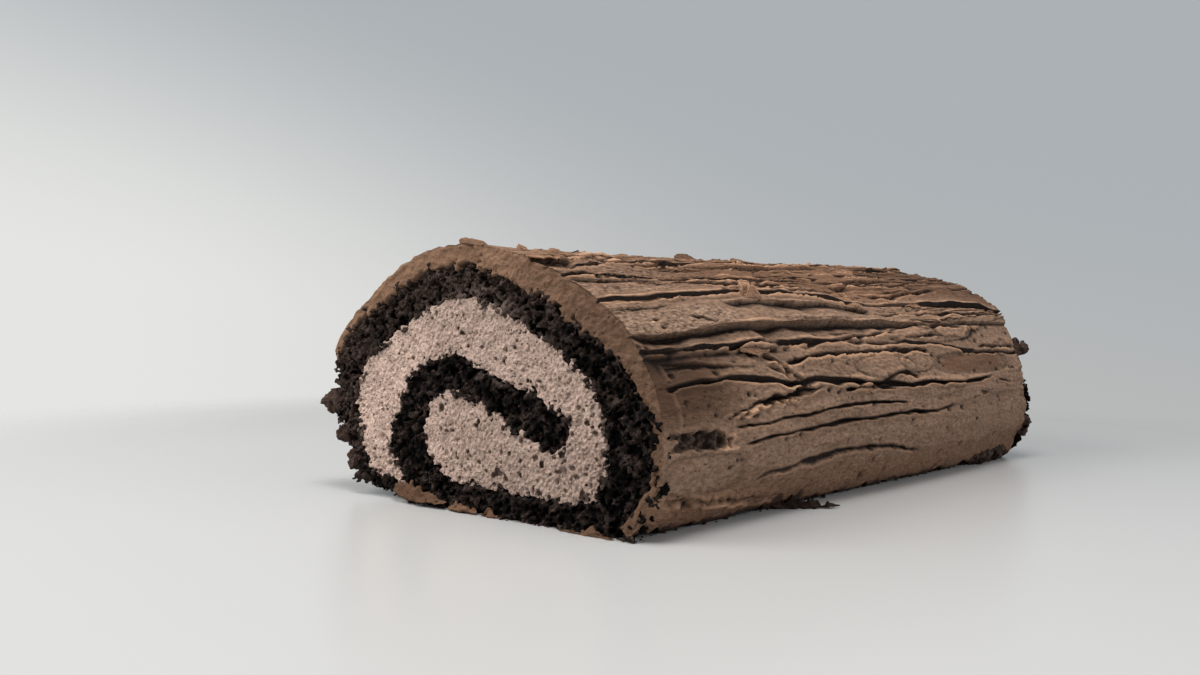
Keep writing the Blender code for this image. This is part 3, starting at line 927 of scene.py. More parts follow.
# The shorter marks: on the top and the near flank, then towards the far end, then on the back.
SHORT_MARKS = (
    scoop("great lip", ((-8, 116.2), (5, 115.9), (12, 115.2), (20, 114.4), (30, 113.4), (40, 112.5),
        (50, 111.9), (62, 111.6), (80, 111.9), (92, 113.6), (104, 115.6)), ((-8, 1), (30, 0.7), (60, 0.6),
        (104, 0.6)), 0.3, crest=0, lip=1.1, over=0, torn=0.08, fade=(1.5, 5)),
    scoop("near pocket", ((-13, 103.2), (-9, 101.4), (-5, 98.8), (0, 97), (5, 97.2), (9, 98)), ((-13, 1.6),
        (-8, 3.6), (-3, 5.6), (1, 6.4), (5, 5.2), (9, 2.6)), 2.6, crest=1.3, crest_width=1.8, lip=0.9,
        over=1.5, fade=(2, 3)),
    stroke("second pocket", ((6, 100.2), (12, 99.5), (16, 97.4), (20, 97.6)), ((6, 0.7), (12, 1.2),
        (16, 2.6), (20, 1.4)), 1.7, crest=0.5, crest_width=1.4, over=0.5, fade=(2.5, 3)),
    scoop("third pocket", ((26, 97.6), (32, 97), (38, 95.8), (43, 95.2), (48, 96)), ((26, 0.7), (33, 1.2),
        (39, 3.4), (43, 3.4), (48, 1.6)), 1.9, crest=0.6, over=0.6, fade=(4, 3)),
    scoop("top furrow", ((46, 97.6), (60, 96.7), (70, 95.7), (80, 95.2), (90, 94.4), (105, 92.8),
        (126, 90.2)), ((46, 1.2), (70, 2.4), (95, 3), (126, 2)), 1.5, crest=0.6, crest_width=2, over=0.3,
        torn=0.25, fade=(4, 14)),
    stroke("top scratch", ((18, 93), (27, 91.6), (38, 90.4)), 1.2, 0.9, torn=0.2),
    stroke("top split", ((24, 95.3), (36, 94.9), (50, 94.4), (64, 93)), 0.9, 1.1, torn=0.2),
    stroke("crest split", ((40, 91.4), (58, 90), (76, 89), (98, 87.5)), 1.4, 1, torn=0.25),
    stroke("crest furrow", ((84, 90), (104, 88.4), (128, 86.6), (150, 85.6)), 1.8, 0.9, torn=0.2),
    stroke("upper crack", ((-12, 107.4), (2, 105.6), (15, 105.4), (29, 105.5)), 1, 1.5, lip=0.5, crest=0.3,
        torn=0.08, fade=(5, 3)),
    stroke("upper crack on", ((36, 105.3), (44, 104.7), (58, 104.9), (72, 105.4)), 1, 1.1),
    scoop("soft ledge", ((-8, 108), (10, 107.9), (29, 107.7)), 1.8, 0.55, lip=0),
    stroke("crumpled strip", ((38, 107.2), (50, 107.6), (64, 107.4), (86, 107.9)), 1.2, 0.6, torn=0.25),
    stroke("crumpled strip low", ((60, 109.2), (76, 109.3), (92, 109.6)), 0.9, 0.45, torn=0.2),
    stroke("upper tear", ((84, 102.2), (92, 102.4), (104, 102.6)), 1.6, 0.9, torn=0.25),
    scoop("dark fold", ((97, 106.8), (103, 107.3), (112, 106.2)), 2.4, 1.5, over=0.6, torn=0.2),
    scoop("under the great lip", ((38, 115.2), (50, 114.5), (70, 114.1), (88, 114.5), (96, 116),
        (106, 117.2)), ((38, 2.6), (50, 4), (70, 4.6), (90, 3.6), (106, 2)), 1.5, crest=0.3,
        crest_width=1.2, lip=0, over=0.2, fade=(9, 6)),
    scoop("lip shade", ((-6, 118), (5, 117.9), (14, 117), (22, 116.2)), 1.8, 0.7, crest=0.1, lip=0),
    stroke("shelf nick", ((22, 119.9), (27, 120.6), (30.5, 121.6)), 0.5, 0.6, lip=0.2, fade=(3, 1)),
    stroke("third crack", ((48, 129.5), (60, 128.4), (75, 127.9), (100, 127.8), (112, 127.7), (123, 128.3)),
        0.9, 1.6, lip=0.35, crest=0.3, torn=0.12, fade=(8, 2)),
    stroke("crumbly line", ((74, 124.6), (84, 124.9), (96, 124.4), (110, 124)), 0.8, 0.5, torn=0.3),
    stroke("fourth crack", ((70, 134.8), (80, 134.9), (88, 135), (99, 135.4)), 0.7, 1.2, fade=(4, 6)),
    stroke("patch hole", ((36, 135.9), (42, 135), (48, 134.5), (55, 134.3)), 1.2, 1.6, lip=0.2, over=0.4,
        torn=0.3, fade=(4, 4)),
    scoop("under the second lip", ((-5, 128), (10, 127.6), (20, 127.1), (40, 126.5), (58, 126.6)), 3.4, 0.9,
        crest=0.1, lip=0, over=0, torn=0.08, fade=(2, 14)),
    scoop("hook", ((41, 127.6), (44, 128.6), (47, 130), (50, 131.3), (55, 132.1)), 1, 0.6, crest=1.3,
        crest_width=0.9, lip=0.5, over=0.6, torn=0.3, fade=(2, 2.5)),
    scoop("hook fold", ((41, 129.8), (44, 130.6), (47, 131.8), (50, 132.4)), 0.7, 0.4, crest=0.7,
        crest_width=0.7, lip=0.6, torn=0.3, fade=(2, 2)),
    stroke("leaf edge", ((86, 134.2), (92, 133.4), (97, 132.8), (104, 132.5), (111, 133.7)), 0.9, 1.3,
        lip=0.1, torn=0.05, over=0.35, fade=(4, 2)),
    stroke("thin crack", ((25, 139.6), (35, 139.2), (45, 138.9), (54, 138.7), (64, 138.3), (75, 137.9),
        (86, 137.8), (96, 138.2), (104, 138.9)), 0.5, 1.4, lip=0.12, torn=0.12, fade=(6, 9)),
    scoop("patch gap", ((22, 137.8), (28, 136.9), (33, 136), (38, 135.4), (44, 134.7), (50, 134.3),
        (57, 134.4), (63, 134.4)), ((22, 0.6), (33, 0.9), (40, 1.5), (50, 2), (56, 1.4), (63, 0.8)), 1.5,
        crest=0.3, over=0.4, torn=0.35, fade=(8, 5)),
    scoop("ledge", ((-1, 148.2), (8, 148.6), (16, 149), (26, 149.4), (37, 149.9), (52, 150.5)), 0.9, 0.5,
        lip=0.5, crest=0.4, crest_width=0.4, torn=0.12, fade=(2, 10)),
    scoop("side crease", ((4, 128.7), (12, 128.8), (24, 129.2), (40, 129.9)), 1.2, 0.45, lip=0, torn=0.1),
    scoop("far furrow", ((110, 103.5), (130, 103.7), (150, 103.9), (168, 104.6)), 1.7, 1, torn=0.2,
        lip=0.3),
    stroke("far scratch", ((116, 106.2), (135, 106.6), (152, 106.1)), 1, 0.6, torn=0.2),
    scoop("far hollow", ((112, 111.8), (125, 111.9), (137, 110.5), (150, 109.7), (162, 109)), 2, 1.2,
        torn=0.25, over=0.4),
    stroke("far top tear", ((116, 98.4), (126, 98.8), (140, 98.6), (152, 98.9)), 1.5, 0.9, torn=0.3),
    stroke("far top furrow", ((140, 92.4), (156, 91.4), (172, 92.6), (189, 91.8)), 2, 1.1, torn=0.25),
    stroke("far strip", ((126, 122.8), (140, 122.7), (152, 123.2)), 0.9, 0.7),
    stroke("far strip high", ((136, 119.5), (155, 119.8), (178, 120.6)), 1, 0.7),
    stroke("far line", ((156, 127.6), (170, 127.8), (187, 128.3)), 0.8, 0.6, torn=0.1),
    stroke("far notch", ((165, 136), (171, 136.3), (178, 136.8)), 0.7, 0.5),
    stroke("far dent", ((148, 138.5), (153, 138.3), (159, 138.4)), 1, 0.45, torn=0.2, lip=0.1),
    stroke("far fold", ((116, 125), (124, 124.6), (134, 124.8)), 0.9, 0.5, torn=0.25),
    stroke("back furrow", ((2, 79), (40, 78), (90, 79.4), (150, 78.2), (188, 79)), 1.6, 1, torn=0.3,
        weak=((50, 80, 0.3), (120, 140, 0.4))),
    stroke("back crack", ((-6, 72), (30, 72.8), (70, 71.4), (110, 72.4)), 1.1, 1.5, lip=0.6),
    stroke("back crack on", ((96, 69), (130, 70.2), (176, 69.4)), 1.2, 1.4, lip=0.5),
    scoop("back scoop", ((10, 65), (60, 64), (120, 65.6), (180, 64.8)), 3, 1.1, crest=0.6, crest_width=2.8,
        lip=0, torn=0.1),
    stroke("back line", ((24, 58.4), (70, 59), (100, 58)), 0.9, 1.2, torn=0.12),
    stroke("back line low", ((60, 52.8), (110, 53.8), (168, 52.6)), 0.9, 1.2, torn=0.12),
    scoop("back ledge", ((-4, 46.4), (50, 47.2), (104, 46)), 1.6, 0.6, torn=0.2),
    stroke("back top split", ((60, 82.6), (84, 82), (120, 82.8), (160, 81.8)), 1, 1, torn=0.3),
)


def scattered(seed: int, count: int, ends: Pair, longest: float, deepest: float) -> list[Stroke]:
    """Fine chance marks.

    Args:
        seed: which marks.
        count: how many.
        ends: the distances along the sheet between which they lie.
        longest: the greatest length.
        deepest: the greatest depth.

    Returns:
        The marks.
    """
    chance = np.random.default_rng(seed)
    made = []
    for number in range(count):
        length = chance.uniform(0.25, 1.0) * longest
        start = chance.uniform(-6.0, 184.0 - length * 0.5)
        at = chance.uniform(*ends)
        edge = tuple((start + length * share, at + chance.uniform(-0.7, 0.7)) for share in (0.0, 0.5, 1.0))
        depth = chance.uniform(0.3, 1.0) * deepest
        make = stroke if chance.random() < 0.45 else scoop
        width = chance.uniform(0.45, 1.3)
        others = {"lip": chance.uniform(0.1, 0.5), "crest": chance.uniform(0.1, 0.35), "torn": 0.12}
        others["fade"] = (length * 0.3, length * 0.3)
        made.append(make(f"mark{seed}_{number}", edge, width, depth, **others))
    return made


ALL_MARKS = (
    *FLOW,
    *SHORT_MARKS,
    *scattered(1, 34, (86.0, 110.0), 46.0, 0.9),
    *scattered(2, 9, (111.0, 130.0), 50.0, 0.5),
    *scattered(3, 26, (40.0, 84.0), 60.0, 0.9),
)


@dataclass(frozen=True)
class Patch:
    """A rounded place on the coat: X and distance of its middle, half lengths, and tilt of its long side."""

    x: float
    distance: float
    half_x: float
    half_distance: float
    tilt: float = 0.0  # how far the distance changes for each millimetre of X
    square: float = 2.0  # the power of its outline, from an ellipse to nearly a rectangle

    def inside(self, distance: Array, x: Array) -> Array:
        """How far inside the patch each place is: 1 in the middle, 0 on the outline."""
        along = np.abs((x - self.x) / self.half_x) ** self.square
        off = distance - self.distance - self.tilt * (x - self.x)
        return 1.0 - (along + np.abs(off / self.half_distance) ** self.square) ** (1.0 / self.square)


def covered(patches: Sequence[tuple[Patch, float]], distance: Array, x: Array, ease: float) -> Array:
    """The greatest amount at each place that patches give it, eased in from their outlines."""
    return reduce(np.maximum, (amount * eased(patch.inside(distance, x) / ease) for patch, amount in patches))


SLOT = Patch(14.3, 141.3, 9.6, 1.5, 0.05, 4.5)
FAR_SMOOTH = Patch(150, 131.8, 26, 2.5, 0, 3)
BROWN_SIDE = Patch(4, 132, 32, 9, 0.05)
SMOOTH_DABS = (
    (Patch(95, 131.4, 16, 2.3, 0.015), 0.30), (Patch(74, 130.9, 7, 1.5, -0.03), 0.26),
    (Patch(16.5, 146, 13, 2.5, 0.02, 3.6), -0.34), (FAR_SMOOTH, -0.4),
    (Patch(131, 124.6, 26, 2.2, -0.01, 2.6), 0.35), (Patch(162, 120.5, 20, 2.6, 0, 2.6), 0.3),
    (Patch(112, 131, 10, 2, 0.02), 0.3),
)
TORN_PATCHES = (
    (Patch(32, 137.4, 11, 1.3, -0.09), 1.5), (Patch(46, 136.2, 8, 0.9, -0.02), 1.2),
    (Patch(20, 149.6, 17, 0.8, 0.02), 0.5), (Patch(48, 126.6, 9, 1.2, 0), 0.6),
    (Patch(47.5, 130.6, 5, 1.5, 0.3), 0.9), (Patch(64, 107.6, 26, 2.6, 0.01), 0.45),
    (Patch(100, 112, 12, 3.2, 0.1), 0.5), (Patch(122, 118.4, 18, 2.6, 0), 0.45),
    (Patch(84, 125.6, 14, 1.4, 0), 0.5), (Patch(3, 148.6, 4.5, 0.9, 0.05), 0.6),
    (Patch(52, 110.8, 8, 2, 0.02), 0.9), (Patch(16, 97, 9, 3.2, 0), 0.5),
    (Patch(44, 97.6, 9, 2.6, -0.1), 0.5), (Patch(110, 74, 20, 2.4, 0), 0.5), (Patch(40, 62, 14, 2, 0), 0.5),
)
SANDY = (
    (Patch(12, 120.6, 34, 3.6, -0.05), 1), (Patch(8, 110.8, 30, 3.6, -0.05), 1),
    (Patch(20, 102.6, 34, 3.4, -0.05), 0.9), (Patch(90, 120.3, 40, 1.6, 0), 0.6),
    (Patch(40, 80, 60, 12, 0), 0.5),
)


@dataclass
class IcingCoat:
    """The spread coat: one skin, from the crumb at the near cut over the outside to the far cut."""

    starts_at: float = 36.5
    crown_at: float = 84.0  # where the back ends and the crown begins
    ends_at: float = 153.2
    thickness: Knots = (
        (36.5, 1.2), (41, 2), (53, 2.2), (66, 3), (94, 3.6), (122, 4.4), (132, 3.2), (141, 2), (148, 1.8),
        (153.2, 1),
    )
    sunk_in: float = 0.3  # how far over the sponge's outline the coat's thickness is measured from
    common_thickness: float = 2.5
    thicker_at_far_end: float = 2.3
    short_of_far_cut: float = 1.8
    # how far apart the rows are between one flow line and the next
    row_steps: tuple[float, ...] = (0.52, 0.22, 0.20, 0.13, 0.20, 0.20, 0.19, 0.20)
    column_steps: Pair = (0.42, 1.0)  # at the near cut and at the far one
    relief_step: float = 0.4
    cap_columns: tuple[int, int] = (26, 12)  # of the near band and of the far one
    cap_depth: float = 3.8  # how far inside the sponge's outline the band at a cut starts
    cap_band: Pair = (0.72, 0.65)  # how strongly each band takes the band's own colour
    pit_count: int = 170

    def row_plan(self) -> list[tuple[int, float, float]]:
        """For each row, the flow line before it, its share of the way to the next, and a fixed distance."""
        lines = [float(mark.line(np.array([0.0, 0.5]))[0]) for mark in FLOW]
        anchors = [self.starts_at, self.crown_at, *lines, self.ends_at]
        plan = []
        for index, (step, low, high) in enumerate(zip(self.row_steps, anchors, anchors[1:])):
            count = max(4, int(round((high - low) / step)))
            plan += [(index, k / count, low + (high - low) * (k / count)) for k in range(count)]
        return plan + [(len(self.row_steps) - 1, 1.0, self.ends_at)]

    def columns(self) -> Array:
        """The share of the way along the roll of each column, closer together towards the near cut."""
        first, last = self.column_steps
        count = int(round(FORM.length / (last - first) * math.log(last / first)))
        places = first * (np.exp(np.linspace(0.0, math.log(last / first), count)) - 1.0)
        return places / places[-1] * self.reach

    @property
    def reach(self) -> float:
        """The share of the roll's length at which the coat ends."""
        return 1.0 - self.short_of_far_cut / FORM.length

    def edges(self, x: Array) -> tuple[Array, Array]:
        """Where the upper and lower edges of the coat lie at each X."""
        upper = self.starts_at + 0.7 + 0.9 * noise([x / 5.0], 71) + 0.35 * noise([x / 1.4], 72)
        lower = self.ends_at - 0.6 + 0.6 * noise([x / 6.0], 73) + 0.5 * noise([x / 1.5], 74)
        return np.maximum(upper, self.starts_at - 0.6), np.minimum(lower, self.ends_at + 0.4)

    def flowing(self, plan: list[tuple[int, float, float]], x: Array) -> Array:
        """The distance of each row at each X: rows run along the long marks."""
        upper, lower = self.edges(x)
        lines = [upper, np.full_like(x, self.crown_at)] + [mark.line(x) for mark in FLOW] + [lower]
        return np.array([lines[k] + (lines[k + 1] - lines[k]) * share for k, share, _ in plan])

    def outside_y(self, at: Array) -> Array:
        """Y of the outside at distances along the sheet, under a coat of common thickness."""
        return FORM.path.face(at, -1.0, self.common_thickness)[0]

    def coat(self, distance: Array, x: Array) -> Array:
        """The thickness of the coat without its marks."""
        piled = bell(distance - 110.0, 12.0) * eased((x - 90.0) / 90.0)
        waves = 0.3 * np.sin(x / 31.0 + distance / 9.0) + 0.2 * np.sin(x / 17.0 - distance / 6.0)
        drawn_in = 1.9 * eased((x - 135.0) / 45.0) * window(distance, 121.0, 152.5, 9.0, 4.0)
        uneven = waves + self.thicker_at_far_end * piled - drawn_in
        return along_knots(self.thickness, distance) + self.fade(distance) * uneven

    def fade(self, distance: Array) -> Array:
        """How far the marks are let out near the coat's two edges."""
        return eased((distance - self.starts_at) / 7.0) * eased((self.ends_at - distance) / 5.0)

    def marks(self, distance: Array, x: Array) -> tuple[Array, Array, Array, Array]:
        """The marks' lift outwards, their slide round the roll, the painted shade on their floors and the painted
        highlight on their lips.
        """
        lift, slide, deep, lip = (np.zeros_like(distance) for _ in range(4))
        for mark in ALL_MARKS:
            line, width, strength = mark.line(x), mark.width(x), mark.strength(x)
            below = distance - line[None]
            rows = ((below > -9.0) & (below < width[None] + 3.0) & (strength[None] > 0.01)).any(axis=1)
            if not rows.any():
                continue
            t = below[rows]
            power = strength[None]
            under = t > 0.0
            above = np.minimum(t, 0.0)
            share = np.clip(t / width[None], 0.0, 1.0)
            hollow = np.minimum(1.0, t / 0.16) * (1.0 - share**mark.foot.value)
            hollow = np.where(under & (share < 1.0), hollow, 0.0) * power
            crest = np.where(under, 0.0, np.exp(above / mark.crest_width)) * power
            ragged = 0.7 + 0.55 * mark.noise(x, 7.5, 5) + 1.2 * mark.torn * mark.noise(x, 2.0, 6)
            ragged = np.clip(ragged, 0.05, 1.7)[None]
            rim = bell(t - width[None] - 0.14, 0.16) * power * ragged
            lift[rows] += mark.crest * crest - mark.drop * hollow + mark.lip * rim
            edge_pull = np.where(under, 0.0, np.exp(above / 0.55)) * power
            slide[rows] += mark.over * edge_pull * ragged - 0.18 * rim * (mark.lip > 0.3)
            # painted shade on the floor of each hollow; the lip mask below is painted highlight along each lip
            if mark.foot is Foot.CRACK:
                dark = eased((t + 0.3) / 0.3) * np.clip((1.15 - share) / 0.35, 0.0, 1.0) * (share < 1.0)
                dark = dark * np.clip(1.6 * power - 0.2, 0.0, 1.0)
            else:
                dark = 0.7 * hollow
            deep[rows] = np.maximum(deep[rows], dark * min(1.0, mark.drop / 1.1))
            lip[rows] = np.maximum(lip[rows], rim * min(1.0, mark.lip * 1.2))
        return lift, slide, deep, shares(lip)

    def layers(self, net: Net, calm: Array) -> tuple[Array, Array, Array, Array]:
        """Thin torn layers that overlap down the crown and the back.

        Args:
            net: the rows and columns of the coat.
            calm: where the layers are smoothed over, from 0 to 1.

        Returns:
            Their lift, their slide, and the painted shade and the painted highlight along each one's edge.
        """
        bend = net.mixed(61, (1.0, 7.0, 60.0), (0.32, 2.6, 17.0), (0.10, 1.5, 4.0), (0.05, 0.7, 1.3))
        phase = net.at[:, None] / 2.7 + 1.3 * bend
        part = phase - np.floor(phase)
        zone = np.maximum(net.rows(83.0, 112.0, 3.0, 2.0), 0.8 * net.rows(44.0, 84.5, 8.0, 1.0))
        zone = np.maximum(zone, 0.75 * net.rows(116.0, 128.0, 2.0, 4.0) * eased((net.x - 96.0) / 20.0)[None])
        amount = zone * np.clip(0.55 + 0.7 * net.noise(3.0, 20.0, 65), 0.0, 1.25) * (1.0 - 0.85 * calm)
        # painted shade under each layer's edge and painted highlight along its top
        dark = amount * eased((0.17 - part) / 0.1)
        lit = amount * eased((part - 0.78) / 0.16)
        return amount * (0.85 * part**2 - 0.3), amount * 0.35 * part**4, dark, lit

    def pits(self, distance: Array, x: Array) -> Array:
        """Small round pits scattered over the flank."""
        chance = np.random.default_rng(31)
        depth = np.zeros_like(distance)
        for _ in range(self.pit_count):
            middle_x = chance.uniform(-4.0, 184.0)
            middle = chance.uniform(*((121.0, 151.0) if chance.random() < 0.8 else (45.0, 118.0)))
            size, stretch = chance.uniform(0.22, 0.5), chance.uniform(1.0, 2.4)
            columns = np.nonzero(np.abs(x - middle_x) < 3.0 * size * stretch)[0]
            if not len(columns):
                continue
            span = slice(columns[0], columns[-1] + 1)
            off = (distance[:, span] - middle) / size
            along = (x[span] - middle_x)[None] / (size * stretch)
            depth[:, span] = np.maximum(depth[:, span], np.exp(-((off**2 + along**2) ** 1.5)) * size * 1.3)
        return depth

    def relief(self, net: Net, distance: Array) -> tuple[Array, Array, dict[str, Array]]:
        """The whole relief of the outside.

        Args:
            net: the rows, whose reference distances the drag marks follow, and the columns.
            distance: distance along the sheet of each point of the grid.

        Returns:
            The height of the coat's outside over the sponge, its slide round the roll, and its masks.
        """
        across = net.x[None] + 0.0 * distance
        lift, slide, deep, lip = self.marks(distance, net.x)
        sand = covered(SANDY, distance, across, 0.25)
        torn = covered(TORN_PATCHES, distance, across, 0.5)
        layered, layer_slide, layer_shade, layer_lit = self.layers(net, sand)
        drag = net.mixed(11, (0.16, 2.4, 19.0), (0.085, 1.0, 11.0), (0.04, 0.5, 4.5))
        grit = (0.055 * net.noise(0.8, 1.0, 15) + 0.05 * net.noise(0.45, 0.75, 25)) * (0.45 + sand)
        tearing = net.mixed(16, (1.0, 0.75, 1.5), (0.7, 0.42, 1.05))
        lift = lift + layered + drag + 0.10 * net.noise(3.4, 4.2, 14) + grit + torn * 0.42 * tearing
        dab_outline_shade = np.zeros_like(distance)
        for patch, amount in SMOOTH_DABS:
            inside = patch.inside(distance, across)
            lift = lift + amount * eased(inside / 0.10) - 0.7 * abs(amount) * bell(inside, 0.07)
            dab_outline_shade = np.maximum(dab_outline_shade, 1.3 * abs(amount) * bell(inside, 0.06))
            wavy = min(1.0, max(0.0, amount * 3.0))
            lift = lift + 0.12 * wavy * np.sin(inside * 17.0) * eased(inside / 0.15)
        pits = self.pits(distance, net.x)
        height, slide, swept, open_slot, slot = self.cut_open(net, distance, lift - pits, slide + layer_slide)
        # painted shade between the low crumbs in the slot, more of it further along the roll
        crumb_shade = open_slot * (-0.1 - 0.9 * net.noise(0.8, 1.2, 20) + 0.4 * eased((across - 9.0) / 8.0))
        # painted highlight on the slot's rim and on the raised parts of the torn patches
        lip = shares(lip + 0.7 * bell(slot + 0.03, 0.07) * eased((across - 17.0) / 4.0))
        lip = shares(lip + 0.35 * torn * (tearing > 0.5))
        # painted shade in the low parts of torn patches, in pits and in the groove round each smooth dab
        deep = deep + 0.9 * torn * (tearing < -0.7) + pits * 1.2 + 0.8 * dab_outline_shade
        deep = shares(deep + self.darkened_stretches(net, distance, across) + np.clip(crumb_shade, 0.0, 0.88))
        hollow = softened(height, 4, 4) - height
        wide = softened(height, 14, 9) - height
        shade = 0.6 * shares((hollow - 0.04) / 0.4) + 0.4 * shares((wide - 0.12) / 0.9)
        shade = shade * (1.0 - 0.75 * eased(slot / 0.16)) * (1.0 + 0.5 * net.rows(84.0, 132.0, 4.0, 6.0))
        shade = shade * (1.0 - 0.45 * net.rows(136.0, 151.0, 2.0, 2.0))
        # painted shadow: the coat's lowest rows darkened along the foot of the flank, higher between X 30 and 62
        foot = distance - 151.7 + net.mixed(81, (0.35, 1.6, 4.0), (0.35, 0.8, 1.2))
        foot = eased((foot + window(across, 30.0, 62.0, 10.0, 5.0)) / 0.5)
        # painted shade from hollows, layer edges and the foot darkens the coat towards the crack colour
        deep = shares(deep + shade + 0.75 * layer_shade + 0.8 * foot)
        # painted highlight on convex places whose height rises along the sheet, and along each layer's lit edge
        climb = np.gradient(softened(height, 1, 1), axis=0) / np.gradient(net.at)[:, None]
        quiet = 0.6 - 0.3 * net.rows(136.0, 156.0, 3.0, 2.0)
        quiet = quiet * (1.0 - bell(slot, 0.4) * (across < 21.0))
        ridge_highlight = quiet * eased(climb / 0.35 + 0.1) * shares((-hollow - 0.03) / 0.3) + 0.6 * layer_lit
        brown = eased(BROWN_SIDE.inside(distance, across) / 0.8)
        brown = np.maximum(brown, 0.7 * eased(FAR_SMOOTH.inside(distance, across) / 0.3))
        # painted shade: the flank darkened and warmed towards its foot, where it turns under
        low = 0.55 * eased((distance - 147.2 + 0.5 * noise([net.x / 5.0], 83)[None]) / 2.0)
        warm = net.rows(40.0, 118.0, 6.0, 8.0) * (0.35 + 0.45 * eased((across - 10.0) / 60.0))
        masks = {"deep": deep, "lip": shares(shares(lip + ridge_highlight * (1.0 - deep)) + 0.3 * swept), "sand": sand}
        masks["bare"] = shares(open_slot * 1.3)
        masks["band"], masks["warm"] = 0.7 * brown, np.maximum(warm, np.maximum(brown, low))
        return np.maximum(height, 0.25), slide, masks

    def cut_open(self, net: Net, distance: Array, lift: Array, slide: Array) -> tuple[Array, ...]:
        """Lays the relief on the coat, quietens it at the near cut, and opens the slot that shows the crumb.

        Args:
            net: the rows and columns.
            distance: distance along the sheet of each point of the grid.
            lift: the relief's height.
            slide: its slide round the roll.

        Returns:
            The height of the outside, the slide, the bead swept along the near cut, how open the slot is at
            each point, and how far inside the slot it lies.
        """
        across = net.x[None] + 0.0 * distance
        fade = self.fade(distance)
        slot = SLOT.inside(distance + 0.12 * noise([net.x / 3.0], 18)[None], across)
        slot = slot + 0.17 * net.noise(0.7, 1.2, 19)
        open_slot = eased(slot / 0.16) * (0.25 + 0.75 * eased((across - 4.5) / 4.0))
        crumb = 0.6 * net.noise(0.8, 1.2, 20) + 0.5 * net.noise(0.45, 0.9, 21)
        from_cut = across - FORM.near(self.outside_y(net.at))[:, None]
        rough = net.rows(42.0, 86.0, 5.0, 3.0) + 0.9 * eased((across - 181.0) / 5.0)
        broad, fine = net.noise(1.3, 3.4, 84), net.noise(0.6, 1.2, 85)
        lift = lift + 0.16 * rough * (broad + 0.5 * fine)
        lift = lift * (0.4 + 0.6 * eased(from_cut / 3.5))
        height = np.maximum(self.coat(distance, across), 0.8) + fade * lift
        swept = bell(from_cut - 5.2 - 0.7 * noise([net.at / 3.0], 86)[:, None], 0.55)
        swept = swept * net.rows(124.0, 143.0, 4.0, 3.0) * (0.7 + 0.5 * noise([net.at / 1.2], 87)[:, None])
        height = height + fade * rough * (0.12 * broad + 0.08 * fine) + 0.24 * swept
        height = height * (1.0 - open_slot) + open_slot * (0.35 + crumb)
        height = height + 0.22 * bell(slot + 0.05, 0.12) * fade * eased((across - 15.0) / 5.0)
        return height, slide * fade * eased(from_cut / 3.0), swept, open_slot, slot

    def darkened_stretches(self, net: Net, distance: Array, across: Array) -> Array:
        """How much darker the coat is made in broad stretches: beside the near cut, low on the flank, on the crown
        near the cut, over a smooth patch near the far cut, and as painted shade over the far part of the crown,
        where less light reaches.
        """
        brown = 0.56 * eased(BROWN_SIDE.inside(distance, across) / 0.6)
        brown = brown + 0.09 * eased((across - 50.0) / 30.0) * net.rows(132.0, 151.0, 4.0, 2.0)
        brown = brown + 0.14 * net.rows(92.0, 114.0, 6.0, 3.0) * eased((110.0 - across) / 30.0)
        brown = brown + 0.36 * eased((across - 105.0) / 50.0) * net.rows(86.0, 116.0, 4.0, 6.0)
        return brown + 0.2 * eased(FAR_SMOOTH.inside(distance, across) / 0.3)

    def border(self, at: Array, beyond: Array, shift: float) -> Array:
        """How far the band at a cut has given way to the crumb, which shows at 1 and is covered at 0.

        Args:
            at: reference distance of each row.
            beyond: heights over the sponge.
            shift: what sets the noise, and the marks that only the near cut has, apart at the far cut.

        Returns:
            The share at each row and height.
        """
        net = Net(at + shift, beyond)
        rows = net.mixed(41, (1.0, 1.5, 1.3), (0.8, 0.62, 0.6))
        corner = eased((at - 147.5) / 2.0)[:, None]
        edge = 0.1 + 0.5 * rows * (1.0 - 0.8 * corner) - 0.5 * corner
        edge = edge + 0.7 * bell(net.at - 104.0, 16.0)[:, None] * net.noise(2.2, 1.6, 43)
        edge = edge - along_knots(FORM.path.covered, at)[:, None]
        edge = edge + 0.5 * window(at, 134.0, 148.5, 8.0, 1.5)[:, None]
        edge = edge + 1.25 * bell(net.at - 86.0, 5.5)[:, None] * (1.0 + 0.6 * rows)
        edge = edge - 0.45 * bell(net.at - 113.0, 7.0)[:, None]
        return eased((edge - beyond[None]) / 0.5)

    def build(self, looks: Looks) -> list[bpy.types.Object]:
        """Builds the skin in three pieces, each with its bands at the cuts."""
        plan = self.row_plan()
        at = np.array([row[2] for row in plan])
        share = self.columns()
        net = Net(at, np.arange(-17.0, FORM.length + 1.0, self.relief_step))
        distance = self.flowing(plan, net.x)
        height, slide, masks = self.relief(net, distance)
        # each row starts at its own X on the slanting cut, so the relief is read at the row's own places
        across = FORM.between(self.outside_y(at)[:, None], share[None])
        place = (across - net.x[0]) / (net.x[1] - net.x[0])
        distance, height, slide = (read_between(values, place) for values in (distance, height, slide))
        y, z = FORM.path.face(distance + slide, -1.0, self.sunk_in + height)
        body = FORM.swollen(FORM.between(y, share[None]), y, z)
        near, near_border = self.cap(distance, slide, height, at, False)
        far, far_border = (values[:, ::-1] for values in self.cap(distance, slide, height, at, True))
        points = np.concatenate([near, body, far], axis=1)
        none = (np.zeros_like(near_border), np.zeros_like(far_border))
        ends = {"sand": none, "warm": none, "bare": (near_border, far_border)}
        ends["band"] = (none[0] + self.cap_band[0], none[1] + self.cap_band[1])
